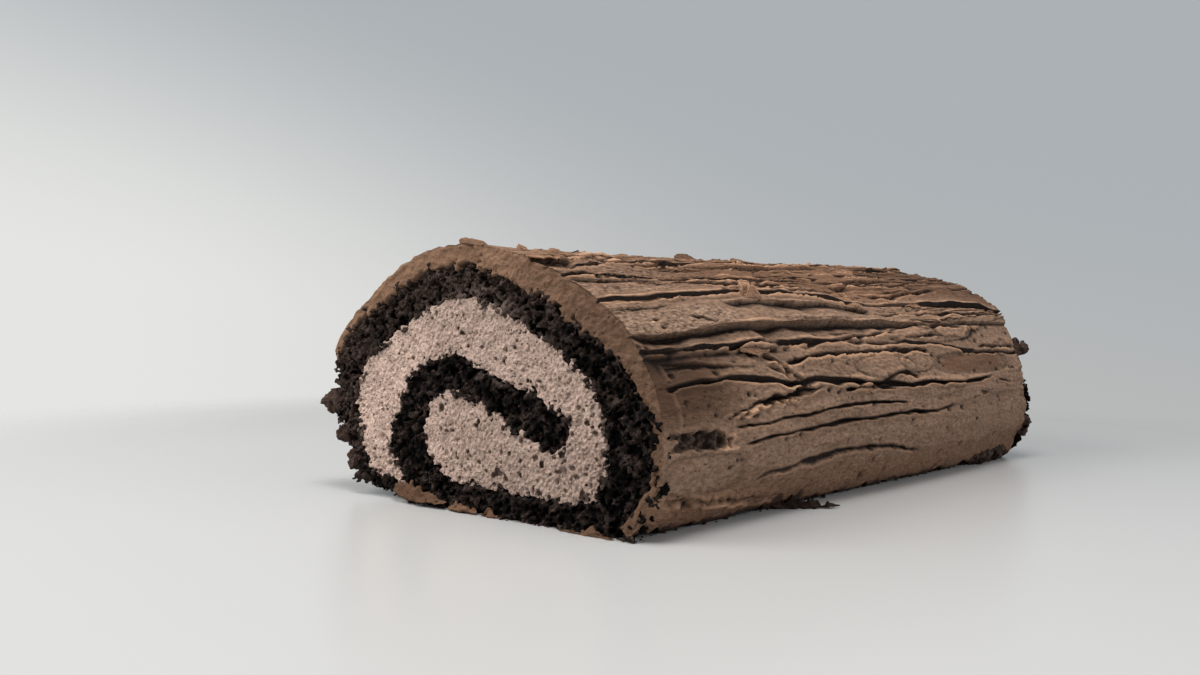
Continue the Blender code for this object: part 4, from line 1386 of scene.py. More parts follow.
        # painted shade on the near band's lower rows and painted highlight on its upper rows
        ends["deep"] = (none[0] + 0.24 * eased((at - 104.0) / 12.0)[:, None], none[1])
        ends["lip"] = (none[0] + 0.16 * eased((102.0 - at) / 12.0)[:, None], none[1])
        for name, values in masks.items():
            masks[name] = np.concatenate([ends[name][0], read_between(values, place), ends[name][1]], axis=1)
        crown = int(np.searchsorted(at, self.crown_at))
        flank = next(k for k, row in enumerate(plan) if row[0] == 3)
        pieces = []
        spans = {"back": (0, crown + 1), "crown": (crown, flank + 1), "flank": (flank, len(plan))}
        for name, (first, last) in spans.items():
            part = points[first:last]
            flat = {key: values[first:last] for key, values in masks.items()}
            if name != "crown":
                part, flat = self.hemmed(part, flat, name == "back")
            pieces.append(make_piece("icing_" + name, Mesh.of_grid(part, flat), looks.icing, True))
        return pieces

    def hemmed(self, points: Array, masks: dict[str, Array], upper: bool) -> tuple[Array, dict[str, Array]]:
        """Adds rows that fold the coat's upper or lower edge back in to the sponge."""
        edge = points[0] if upper else points[-1]
        y, z = FORM.path.face(np.array(self.starts_at if upper else self.ends_at), -1.0, -0.8)
        inward = FORM.swollen(edge[:, 0], y, z)
        folds = np.stack([edge + (inward - edge) * share for share in (0.35, 0.7, 1.0)])

        def hem(values: Array, extra: Array) -> Array:
            """Rows with the hem's own before or after them."""
            return np.concatenate([extra[::-1], values] if upper else [values, extra])

        rim = slice(0, 1) if upper else slice(-1, None)
        spread = {name: np.repeat(values[rim], len(folds), axis=0) for name, values in masks.items()}
        return hem(points, folds), {name: hem(values, spread[name]) for name, values in masks.items()}

    def cap(self, distance: Array, slide: Array, height: Array, at: Array, far: bool) -> tuple[Array, Array]:
        """The band of icing that shows at a cut, from under the crumb out to the outer edge.

        Args:
            distance: distance along the sheet of each point of the grid.
            slide: the outside's slide round the roll.
            height: the outside's height.
            at: reference distance of each row.
            far: whether it is the far cut.

        Returns:
            The band's points from the crumb outwards, and how far each has given way to the crumb.
        """
        column, count = (-1, self.cap_columns[1]) if far else (0, self.cap_columns[0])
        outer = self.sunk_in + height[:, column][:, None]
        share = np.linspace(0.0, 1.0, count + 1)[:-1]
        beyond = -self.cap_depth + (outer + self.cap_depth) * share[None]
        pulled = distance[:, column][:, None] + slide[:, column][:, None] * shares(beyond / outer)
        y, z = FORM.path.face(pulled, -1.0, beyond)
        levels = np.linspace(-self.cap_depth, 6.0, 40)
        border = self.border(at, levels, 500.0 if far else 0.0)
        given = read_between(border, (beyond - levels[0]) / (levels[1] - levels[0]))
        drawn = Net(at, share * count).mixed(51, (0.16, 1.6, 4.0), (0.13, 0.6, 2.0))
        sunk = drawn + 1.9 * given + 0.22 * shares(share[None] - 0.93) / 0.07
        x = FORM.between(y, self.reach) - sunk if far else FORM.near(y) + sunk
        return FORM.swollen(x, y, z), given


# ---------------------------------------------------------------- the cuts through sponge and cream


@dataclass(frozen=True)
class Block:
    """A thin block of small cells behind one of the cuts: its axes are depth behind the cut, Y and Z."""

    cell: float
    front: float  # how far it reaches out past the cut
    back: float  # how far it reaches in behind it
    far: bool = False
    low: Pair = (-12.5, -1.0)  # the Y and Z at which it starts
    high: Pair = (99.0, 62.5)  # and those at which it ends

    @cached_property
    def axes(self) -> tuple[Array, Array, Array]:
        """Depth, Y and Z of the cells."""
        across, up = (np.arange(low, high, self.cell) for low, high in zip(self.low, self.high))
        return np.arange(-self.front, self.back + self.cell / 2, self.cell), across, up

    @property
    def starts(self) -> Array:
        """The depth, Y and Z of the first cell."""
        return np.array([axis[0] for axis in self.axes])

    @property
    def foremost(self) -> Array:
        """Which layers of cells lie right in front of the cut."""
        return self.axes[0] < -self.front + self.cell * 1.5

    def noise(self, scale: Sequence[float], seed: int) -> Array:
        """Smooth noise over the block, at a scale for each axis."""
        return noise([axis / size for axis, size in zip(self.axes, scale)], seed)

    def flat_noise(self, scale: Sequence[float], seed: int) -> Array:
        """Smooth noise over the block's Y and Z."""
        return noise([axis / size for axis, size in zip(self.axes[1:], scale)], seed)

    def hollowed(self, body: Array, middles: Array, sizes: Array) -> None:
        """Takes rounded hollows out of a block of values, which is changed in place.

        Args:
            body: the block.
            middles: the middle of each hollow.
            sizes: its three half lengths.
        """
        for middle, size in zip(middles, sizes):
            low = np.maximum(0, np.floor((middle - size - self.starts) / self.cell).astype(int))
            high = np.minimum(body.shape, np.ceil((middle + size - self.starts) / self.cell).astype(int) + 1)
            if (high <= low).any():
                continue
            depth, y, z = ((self.axes[k][low[k] : high[k]] - middle[k]) / size[k] for k in range(3))
            off = np.sqrt(depth[:, None, None] ** 2 + y[None, :, None] ** 2 + z[None, None] ** 2)
            place = tuple(slice(a, b) for a, b in zip(low, high))
            body[place] = np.minimum(body[place], (off - 1.0) * float(size.min()))

    def whole(self, body: Array, root: float, empty: float) -> Array:
        """A block with nothing loose in front of the cut and no closed hollow behind it.

        Args:
            body: the block's values, above 0 where it is full.
            root: how far in front of the block's back everything has to be rooted.
            empty: the value that takes the place of what is loose.

        Returns:
            The block's values.
        """
        body[self.foremost] = -1.0
        depth, _, z = self.axes
        roots = np.broadcast_to((depth > self.back - root)[:, None, None], body.shape)
        solid = anchored(body > 0.0, roots)
        body = np.where((body > 0.0) & ~solid, empty, body)
        body = np.where(z[None, None] < 0.0, UNDER_TABLE, body).astype(np.float32)
        air = anchored(body <= 0.0, np.broadcast_to(self.foremost[:, None, None], body.shape))
        return np.where((body <= 0.0) & ~air, 0.1, body).astype(np.float32)

    def mesh(self, body: Array, plane: Sequence[Array]) -> tuple[Mesh, Array, list[Array]]:
        """The surface of a block.

        Args:
            body: the block's values.
            plane: maps over Y and Z to read at each point.

        Returns:
            The mesh, the depth of each point, and each map's value there.
        """
        points, quads = surface_net(body)
        if self.far:
            quads = quads[:, ::-1]
        index = np.clip(np.round(points).astype(int), 0, np.array(body.shape) - 1)
        read = [values[index[:, 1], index[:, 2]] for values in plane]
        uv = UV_START + UV_SPAN * points[:, 1:] / np.array(body.shape[1:], float)
        depth, y, z = (points * self.cell + self.starts).T
        x = FORM.far(y) - depth if self.far else FORM.near(y) + depth
        return Mesh(on_table(FORM.swollen(x, y, z)), quads, uv), depth, read


@dataclass
class SpongeCut:
    """The crumb of the sponge at one cut: clumps, gaps and holes."""

    block: Block
    seed: int
    hole_count: int = 1500
    name: str = "sponge_cut"
    split_at: float = 44.0  # the Y at which the crumb is parted into two pieces

    def body(self, inside: Array, level: Array, beside_cream: Array) -> Array:
        """The crumb as a block of values.

        Args:
            inside: how far each place of the section is inside the sponge.
            level: how far behind the cut the crumb's face lies there.
            beside_cream: how close it is to the cream, where the crumb is calmer.

        Returns:
            The values, above 0 where there is crumb.
        """
        block, seed = self.block, self.seed
        edge = 0.4 + inside[None] + 0.7 * block.noise((2.4, 2.4, 2.4), seed)
        edge = edge + 0.55 * block.noise((0.9, 0.9, 0.9), seed + 1)
        body = np.minimum(edge, block.axes[0][:, None, None] - level[None])
        large, small, fine = ((size, size, size) for size in (1.5, 0.72, 0.45))
        clumps = 0.62 * block.noise(large, seed + 3) + 0.85 * block.noise(small, seed + 4)
        body = body + clumps * (1.0 - 0.5 * beside_cream)[None] + 0.5 * block.noise(fine, seed + 5) - 0.2
        chance = np.random.default_rng(seed + 6)
        ranges = ((-0.3, 1.8), (block.low[0], block.high[0]), (block.low[1], block.high[1]))
        middles = np.stack([chance.uniform(low, high, self.hole_count) for low, high in ranges], -1)
        half_lengths = chance.uniform(0.3, 0.85, (self.hole_count, 1)) ** 1.3
        block.hollowed(body, middles, half_lengths * chance.uniform(0.8, 1.5, (self.hole_count, 3)))
        return block.whole(body, 1.0, -0.1)

    def paint(self, mesh: Mesh, sunk: Array, to_cream: Array) -> None:
        """Marks where the crumb is smeared with cream and where painted shade darkens it.

        Args:
            mesh: the crumb's mesh, which takes the marks.
            sunk: how far behind the crumb's face each point lies.
            to_cream: how far inside the cream's outline it is, below 0 outside.
        """
        _, y, z = self.block.axes
        patchy = self.block.flat_noise((1.6, 1.6), self.seed + 7)
        patchy = patchy + 0.6 * self.block.flat_noise((0.6, 0.6), self.seed + 8)
        size = np.array([len(y), len(z)])
        index = np.clip(((mesh.uv - UV_START) / UV_SPAN * size).astype(int), 0, size - 1)
        spots = patchy[index[:, 0], index[:, 1]]
        across, up = mesh.points[:, 1], mesh.points[:, 2]
        dusted = window(across, 8.0, 44.0, 6.0, 8.0) * eased((up - 22.0) / 10.0)
        reach = 1.9 + 2.6 * dusted
        near_cream = (0.5 + 0.5 * dusted) * eased((to_cream + reach + 0.5 * spots) / reach)
        raised = eased((0.75 - sunk) / 0.8)
        mesh.masks["smear"] = np.clip(near_cream * (0.25 + 0.5 * raised) * (0.75 + 0.5 * spots), 0.0, 0.85)
        # painted shade: all but the upper arc and the left side is darkened, the more so at small Y
        pale = np.maximum(eased((up - 38.0) / 12.0), eased((across - 64.0) / 10.0) * eased((up - 5.0) / 10.0))
        pale = pale * (0.35 + 0.65 * eased((across + 2.0) / 24.0))
        shaded = 0.8 * (1.0 - pale) * np.clip(0.85 + 0.45 * spots, 0.0, 1.2)
        # painted shade also darkens the crumb that lies behind the face
        mesh.masks["deep"] = np.clip(eased(sunk - 0.1) + shaded, 0.0, 1.0)

    def build(self, looks: Looks) -> list[bpy.types.Object]:
        """Builds the crumb."""
        block, seed = self.block, self.seed
        inside = polygon_distance(FORM.path.sponge_outline(1.2, bare=True), *block.axes[1:])
        cream = polygon_distance(FORM.path.cream_outline(1.5), *block.axes[1:])
        beside_cream = bell(np.minimum(cream, 0.0), 1.1)
        level = 0.35 + 0.35 * block.flat_noise((6.0, 6.0), seed + 2)
        level = level + 0.3 * block.flat_noise((2.6, 2.6), seed + 9) - 0.15 * beside_cream
        mesh, depth, (to_cream, face) = block.mesh(self.body(inside, level, beside_cream), [cream, level])
        self.paint(mesh, depth - face, to_cream)
        right = mesh.points[mesh.faces[:, 0], 1] < self.split_at
        return [
            make_piece(self.name + "_right", mesh.kept(right), looks.sponge),
            make_piece(self.name + "_left", mesh.kept(~right), looks.sponge),
        ]


@dataclass
class CreamCut:
    """The cream at one cut: a fine whipped body with pores that the knife has drawn out."""

    block: Block
    seed: int
    pore_count: int = 5200
    name: str = "cream_cut"

    def pores(self) -> tuple[Array, Array]:
        """The middles and half lengths of the pores: fewer and smaller to the upper left."""
        chance = np.random.default_rng(self.seed + 6)
        y = chance.uniform(-2.0, 92.0, self.pore_count)
        z = chance.uniform(5.0, 52.0, self.pore_count)
        wild = eased((34.0 - y) / 40.0) * 0.35 + eased((30.0 - z) / 26.0) * 0.4
        kept = chance.random(self.pore_count) < 0.2 + 0.8 * wild
        y, z, wild = y[kept], z[kept], wild[kept]
        count = len(y)
        middles = np.stack([chance.uniform(-0.1, 0.35, count), y, z], -1)
        size = 0.18 + chance.random(count) ** 3.0 * (0.32 + 0.35 * wild)
        across, up = size * chance.uniform(0.8, 1.7, count), size * chance.uniform(0.8, 1.9, count)
        return middles, np.stack([size * 1.1, across, up], -1)

    def build(self, looks: Looks) -> bpy.types.Object:
        """Builds the cream."""
        block, seed = self.block, self.seed
        depth, y, z = block.axes
        inside = polygon_distance(FORM.path.cream_outline(1.5, -0.25), y, z)
        ragged = 0.45 * block.flat_noise((1.3, 1.3), seed) + 0.3 * block.flat_noise((0.55, 0.55), seed + 1)
        loose = eased((30.0 - y[:, None]) / 40.0) * eased((34.0 - z[None]) / 16.0)
        level = 0.10 + 0.22 * block.flat_noise((5.0, 5.0), seed + 2)
        level = level + (0.05 + 0.09 * loose) * block.flat_noise((0.9, 1.5), seed + 3)
        level = level + 0.12 * block.flat_noise((0.42, 0.62), seed + 4)
        body = np.minimum((inside + ragged)[None], depth[:, None, None] - level[None])
        body = body + (0.14 + 0.12 * loose)[None] * block.noise((0.5, 0.45, 0.6), seed + 5)
        block.hollowed(body, *self.pores())
        mesh, at_depth, (face, border) = block.mesh(block.whole(body, 0.5, -0.05), [level, inside])
        _, across, up = mesh.points.T
        # painted shade: the cream darkened at small Y, the more so low down, and in the pores behind its face
        low = 0.17 * eased((24.0 - up) / 12.0) * eased((46.0 - across) / 14.0)
        low = low + 0.2 * eased((60.0 - across) / 18.0)
        mesh.masks["deep"] = 0.8 * eased((at_depth - face - 0.08) / 0.5) * (border > 0.4) + low
        return make_piece(self.name, mesh, looks.cream)


# ---------------------------------------------------------------- the bare sponge and the inner bodies


@dataclass
class SpongeSide:
    """The bare outside of the sponge: the left side up to the icing, and the underside."""

    side: Pair = (0.0, 40.0)
    underside: Pair = (149.5, 218.0)

    def skin(self, ends: Pair, steps: Pair, seed: int, rough: float) -> Mesh:
        """A craggy skin over the outer face.

        Args:
            ends: the distances along the sheet between which it lies.
            steps: how far apart its rows and its columns are.
            seed: which noise.
            rough: how craggy it is.

        Returns:
            The skin.
        """
        at = FORM.path.spread(*ends, steps[0])
        share = FORM.path.spread(0.006, 0.994, steps[1] / FORM.length)
        net = Net(at, share * FORM.length)
        clumps = net.mixed(seed, (1.0, 1.7, 1.8), (0.6, 0.8, 0.85))
        fine, wide = net.noise(0.45, 0.55, seed + 2), net.noise(7.0, 9.0, seed + 3)
        beyond = rough * (0.55 * clumps + 0.25 * fine + 0.35 * wide) - 0.15
        notches = np.minimum(along_knots(FORM.path.outer_shape, at), 0.0) * (at < 40.0)
        beyond = beyond + notches[:, None] * (1.0 - 0.75 * eased((net.x - 3.0) / 9.0))[None]
        beyond = beyond - rough * 1.1 * eased((net.noise(1.1, 1.2, seed + 4) - 0.55) / 0.5)
        pull, along = (rough * size * net.noise(0.9, 1.0, seed + k) for k, size in ((5, 0.55), (6, 0.5)))
        y, z = FORM.path.face(at[:, None] + pull, -1.0, beyond)
        points = on_table(FORM.swollen(FORM.between(y, share[None]) + along, y, z))
        toasted = 0.55 * eased((beyond + 0.1) / 0.9) * eased(net.noise(9.0, 12.0, seed + 7) + 0.6)
        return Mesh.of_grid(points, {"toasted": toasted})

    def build(self, looks: Looks) -> list[bpy.types.Object]:
        """Builds the side and the underside."""
        side = self.skin(self.side, (0.45, 0.55), 201, 0.95)
        base = self.skin(self.underside, (1.4, 1.5), 221, 0.5)
        meshes = {"sponge_side": side, "sponge_underside": base}
        return [make_piece(name, mesh, looks.sponge) for name, mesh in meshes.items()]


@dataclass
class InnerBodies:
    """The plain insides of the sponge and the cream, which the cuts and skins cover."""

    inset: float = 2.2  # how far their ends stand back from the cuts
    stations: int = 14

    def prism(self, outline: Array) -> Mesh:
        """A closed body of an outline run along the roll."""
        y, z = outline.T
        near, far = FORM.near(y) + self.inset, FORM.far(y) - self.inset
        shares_along = np.linspace(0.0, 1.0, self.stations)
        rings = [FORM.swollen(near + (far - near) * share, y, z) for share in shares_along]
        points = on_table(np.concatenate(rings), 0.3)
        quads = ring_quads(self.stations, len(outline))[:, [0, 3, 2, 1]]
        return Mesh(points, quads, np.random.default_rng(5).random((len(points), 2)))

    def build(self, looks: Looks) -> list[bpy.types.Object]:
        """Builds both bodies, the sponge's with its ends closed."""
        sponge = self.prism(FORM.path.sponge_outline(1.5, -0.9))
        half = len(sponge.points) // self.stations // 2
        last = (self.stations - 1) * 2 * half
        ladder = np.arange(half - 1)
        ends = np.stack([ladder, 2 * half - 1 - ladder, 2 * half - 2 - ladder, ladder + 1], -1)
        sponge.faces = np.concatenate([sponge.faces, ends, (ends + last)[:, ::-1]])
        cream = self.prism(FORM.path.cream_outline(1.5, 0.2))
        return [make_piece("sponge_core", sponge, looks.sponge), make_piece("cream_core", cream, looks.cream)]


# ---------------------------------------------------------------- crumbs, flakes and flaps


@dataclass(frozen=True)
class Lump:
    """A craggy lump of crumb on the outer face: where it sits, how high, and its half lengths."""

    distance: float
    x: float
    over: float
    half: tuple[float, float, float]  # along the roll, round it and outwards
    toasted: float = 0.4


LUMPS = {
    "cheek": Lump(28.5, -11, 1.6, (3, 2.9, 4.2), 0.75),
    "under": Lump(21.5, -10, 0.9, (3.4, 2.5, 3), 0.6),
    "hem": Lump(14.5, -9, 0.5, (3.2, 2.3, 2.4), 0.5),
    "side": Lump(30, 22, 0.2, (5, 3.6, 2.4)),
    "middle": Lump(25, 68, 0.2, (6, 3.4, 2.6)),
    "long": Lump(31, 112, 0.2, (7.5, 3.2, 2.4)),
    "far_side": Lump(26, 158, 0.2, (5.5, 3.8, 2.8)),
    "far_shoulder": Lump(112, 187.6, 0.6, (1.9, 3.4, 2.6)),
    "far_upper": Lump(120, 187.8, 0.8, (2.1, 2.8, 2.8)),
    "far_edge": Lump(129, 188.4, 1.6, (2.7, 3, 4.2)),
    "far_low": Lump(148, 187.8, 0.2, (2, 3.6, 2.5)),
    "far_foot": Lump(151.8, 163, 0.7, (7.5, 2.6, 2.4), 0.3),
    "far_heel": Lump(151.6, 176, 0.6, (4.5, 2.4, 2.2), 0.3),
}


@dataclass
class CrumbLumps:
    """The lumps of crumb that stand out from the sponge."""

    cell: float = 0.45
    cells_across: int = 4  # of the flat map's chart, one for each lump

    def lump(self, row: Lump, seed: int) -> Mesh:
        """One lump, made of small cells."""
        half = np.array(row.half, float)
        axes = [np.arange(-size - 1.0, size + 1.0 + self.cell, self.cell) for size in half]
        grids = np.meshgrid(*axes, indexing="ij")
        reach = np.sqrt(sum((grid / size) ** 2 for grid, size in zip(grids, half)))
        body = (1.02 - reach) * float(half.min())
        for number, (height, scale) in enumerate(((0.8, 1.9), (0.55, 0.95), (0.25, 0.5))):
            body = body + height * noise([axis / scale for axis in axes], seed + number)
        for edge in (0, -1):
            body[edge], body[:, edge], body[:, :, edge] = -1.0, -1.0, -1.0
        roots = np.zeros(body.shape, bool)
        roots[tuple(slice(size // 2 - 2, size // 2 + 3) for size in body.shape)] = True
        solid = anchored(body > 0.0, roots)
        points, quads = surface_net(np.where((body > 0.0) & ~solid, -0.1, body))
        local = points * self.cell + np.array([axis[0] for axis in axes])
        origin, above = (FORM.outside(row.distance, row.x, row.over + rise) for rise in (0.0, 1.0))
        out = (above - origin) / np.linalg.norm(above - origin)
        along = np.array([1.0, 0.0, 0.0]) - out * out[0]
        along = along / np.linalg.norm(along)
        placed = origin + local[:, :1] * along + local[:, 1:2] * np.cross(out, along) + local[:, 2:] * out
        uv = 0.01 + 0.98 * (points[:, :2] / np.array(body.shape[:2], float))
        patchy = np.sin(local[:, 0] * 1.9 + seed) * np.cos(local[:, 1] * 1.7)
        return Mesh(on_table(placed), quads, uv, {"toasted": row.toasted * eased(0.5 + 0.8 * patchy)})

    def build(self, looks: Looks) -> bpy.types.Object:
        """Builds all the lumps as one piece."""
        side = self.cells_across
        made = [self.lump(row, 300 + 10 * k).in_cell(k, (side, side)) for k, row in enumerate(LUMPS.values())]
        return make_piece("crumb_lumps", reduce(Mesh.joined, made), looks.sponge)


@dataclass
class LooseCrumbs:
    """Small crumbs that cling along the foot of the roll and at its far edge."""

    count: int = 260
    cells: tuple[int, int] = (17, 16)  # of the flat map's chart, one for each crumb
    # up to which share the crumbs lie at the foot, then before the near cut, then up the side
    kinds: tuple[float, float, float] = (0.42, 0.66, 0.85)
    foot_at: float = 152.5  # the distance along the sheet of the foot of the flank

    def middle(self, chance: np.random.Generator, kind: float, size: float) -> Array:
        """Where a crumb lies: at the foot, before the near cut, up the side or at the far edge."""
        if kind < self.kinds[0]:
            x = chance.uniform(-4.0, 186.0)
            y, _ = FORM.path.face(np.array(self.foot_at), -1.0, chance.uniform(0.0, 1.6))
            return FORM.swollen(x, y - chance.uniform(-2.0, 0.6), size * 0.45)
        if kind < self.kinds[1]:
            y = chance.uniform(8.0, 56.0)
            return FORM.swollen(FORM.near(y) - chance.uniform(-0.6, 0.7), y, size * 0.4)
        if kind < self.kinds[2]:
            x = chance.uniform(-10.0, 186.0)
            return FORM.outside(chance.uniform(14.0, 36.0), x, 0.4)
        distance = chance.uniform(96.0, 150.0)
        return FORM.outside(distance, 187.3 + chance.uniform(-0.6, 0.5), 0.6)

    def build(self, looks: Looks) -> bpy.types.Object:
        """Builds the crumbs as one piece."""
        chance = np.random.default_rng(77)
        base = icosphere(2)
        made = []
        for number in range(self.count):
            kind, size = chance.random(), 0.25 + 0.75 * chance.random() ** 2.2
            middle = self.middle(chance, kind, size)
            shape = base.points * chance.uniform(0.55, 1.25, 3) * size * 0.6
            dents = 0.28 * np.sin(base.points * chance.uniform(3.0, 7.0, 3) + number).sum(1)
            placed = on_table(middle + shape * (1.0 + dents)[:, None])
            piece = Mesh(placed, base.faces, base.uv, {"toasted": np.full(len(placed), chance.random() ** 2)})
            made.append(piece.in_cell(number, self.cells, 0.96))
        return make_piece("foot_crumbs", reduce(Mesh.joined, made), looks.sponge)


def icosphere(level: int) -> Mesh:
    """A ball of unit radius."""
    shape = bmesh.new()
    bmesh.ops.create_icosphere(shape, subdivisions=level, radius=1.0)
    points = np.array([corner.co[:] for corner in shape.verts])
    faces = np.array([[corner.index for corner in face.verts] for face in shape.faces])
    shape.free()
    uv = np.stack([np.arctan2(points[:, 1], points[:, 0]) / WHOLE_TURN + 0.5, points[:, 2] * 0.49 + 0.5], -1)
    return Mesh(points, np.concatenate([faces, faces[:, 2:]], axis=1), uv)


@dataclass(frozen=True)
class Flap:
    """A thin torn leaf of icing that has lifted off the coat.

    Its spine starts at a place on the coat and runs along the roll. It is given by the place, how far over
    the coat it lies, how long and wide it is, how high its free edge lifts and how far the edge curls over.
    """

    distance: float
    x: float
    over: float
    length: float
    width: float
    lift: float
    curl: float  # radians that the leaf turns across its width
    lean: float = 0.0  # how far the distance changes for each millimetre of X
    tip: float = 0.3  # width left at its two ends
    thick: float = 0.45
    # lit is painted highlight towards the free edge; dark is painted shade over the whole leaf
    lit: float = 0.32
    dark: float = 0.0


FLAPS = {
    "near_top": Flap(84.5, -10, -0.3, 9.5, -2.6, 1.9, 0.5, -0.1, 0.1, 0.7, 0.1, 0.15),
    "near_spike": Flap(88, 3, -0.2, 3.4, -1.6, 1.5, 0.4, 0, 0.1, 0.5),
    "second_spike": Flap(86.5, 14, -0.2, 6, -1.4, 1, 0.4, 0, 0.2, 0.5),
    "pocket_rim": Flap(97.4, -4.5, 0.6, 11, 2.4, 0.4, 0.8, -0.1, 0.3, 0.7, 0.45),
    "crest_flake": Flap(82.5, 66, -0.2, 10.5, -2.4, 2.7, 0.5, 0.05, 0.1, 0.6, 0.05, 0.4),
    "crest_flake_low": Flap(83, 80, -0.2, 14, -1.6, 1.6, 0.5, 0, 0.3, 0.6, 0.05, 0.3),
    "crest_flake_end": Flap(83.5, 90, -0.3, 8, -1.9, 2.1, 0.5, 0.1, 0.05, 0.6, 0.1, 0.3),
    "crumpled_top": Flap(109.4, 48.5, 0.3, 6.5, 2, 0.8, 1.2, -0.06, 0.4, 0.5),
    "crumpled_low": Flap(110.6, 52, 0.2, 7, 1.7, 0.6, 1.5, 0.05, 0.4, 0.5),
    "crumpled_ridge": Flap(112.8, 49, 0, 10.5, -3, 2.6, 0.6, 0, 0.1, 0.6, 0.55),
    "crumpled_peak": Flap(114, 51, 0.2, 6.5, -2.4, 2.6, 0.5, 0, 0.05, 0.6, 0.45),
    "hanging": Flap(126.7, 33, 0.2, 11, 1.5, 0.2, 0.5, 0.02, 0.05, 0.35, 0.2, 0.1),
    "upper_shred": Flap(105.6, 43, 0.1, 5, 1, 0.5, 0.9, -0.1, 0.3, 0.4),
    "far_shred": Flap(115.8, 128, 0.2, 9, 1.4, 0.6, 0.8, 0.05, 0.3, 0.5),
    "far_fold": Flap(118.4, 118, 0.1, 8, 1.2, 0.5, 0.9, 0.03, 0.3, 0.5),
    "side_shred": Flap(135.1, 78, 0.1, 8, 1, 0.4, 0.8, 0.01, 0.3, 0.4),
    "back_shred": Flap(71.5, 50, 0, 9, 1.5, 0.7, 0.9, 0.03, 0.3, 0.5),
    "back_flake": Flap(69.5, 128, 0, 7, 1.6, 0.9, 0.9, 0.03, 0.3, 0.5),
}


@dataclass(frozen=True)
class Shred:
    """A ragged scrap of icing at the foot of the roll. Its knots are (X, Y, lowest Z, highest Z)."""

    knots: tuple[tuple[float, float, float, float], ...]
    out: float = 0.8
    thick: float = 0.7
    # lit is painted highlight; dark is painted shade, nearly full on the two flakes at the flank's foot
    lit: float = 0.35
    dark: float = 0.0


def at_the_cut(*knots: tuple[float, float, float], **others: float) -> Shred:
    """A shred against the near cut, from knots of (Y, lowest Z, highest Z)."""
    return Shred(tuple((float(FORM.near(y)), y, low, high) for y, low, high in knots), **others)


SHREDS = {
    "heel_flake": at_the_cut(
        (60, 2.4, 3.9), (57.5, 1.3, 4.9), (54.5, 0.9, 4.5), (51.5, 0.9, 3.8), (48.5, 1, 3.3), (46, 1.2, 2.6),
        (43.2, 1.4, 1.7), out=1.1, thick=0.9, lit=0.08, dark=0.45,
    ),
    "heel_shred": at_the_cut(
        (42.8, 0.5, 0.8), (40, 0.3, 1.5), (37, 0.4, 1.2), (34, 0.5, 0.8), out=0.5, lit=0.1, dark=0.3,
    ),
    "heel_scrap": at_the_cut((32.8, 0.3, 0.7), (30.5, 0.1, 1.5), (28, 0.3, 0.8), out=0.5, lit=0.1, dark=0.35),
    "toe_scrap": at_the_cut((11, 0, 0.2), (7, 0, 0.5), (2, 0, 0.6), (-2, 0, 0.2), lit=0.1, dark=0.45),
    # two near-black flakes along the flank's foot: painted shadow under the coat's ragged lower edge
    "foot_shadow_flake": Shred(
        (
            (50, -3.4, 0, 0.9), (54, -6.6, 0, 1.9), (57.5, -9.4, 0.1, 1.5), (60.5, -12, 0.3, 1.2),
            (63.5, -14.2, 0.6, 0.8),
        ),
        0.5, 1.3, 0.0, 0.97,
    ),
    "foot_shadow_curl": Shred(
        ((47, -3.2, 0.1, 1), (51.5, -5.4, 0.3, 2.3), (56, -7.6, 0.6, 1.9), (60, -9.8, 0.9, 1.2)),
        0.6, 0.8, 0.05, 0.9,
    ),
}


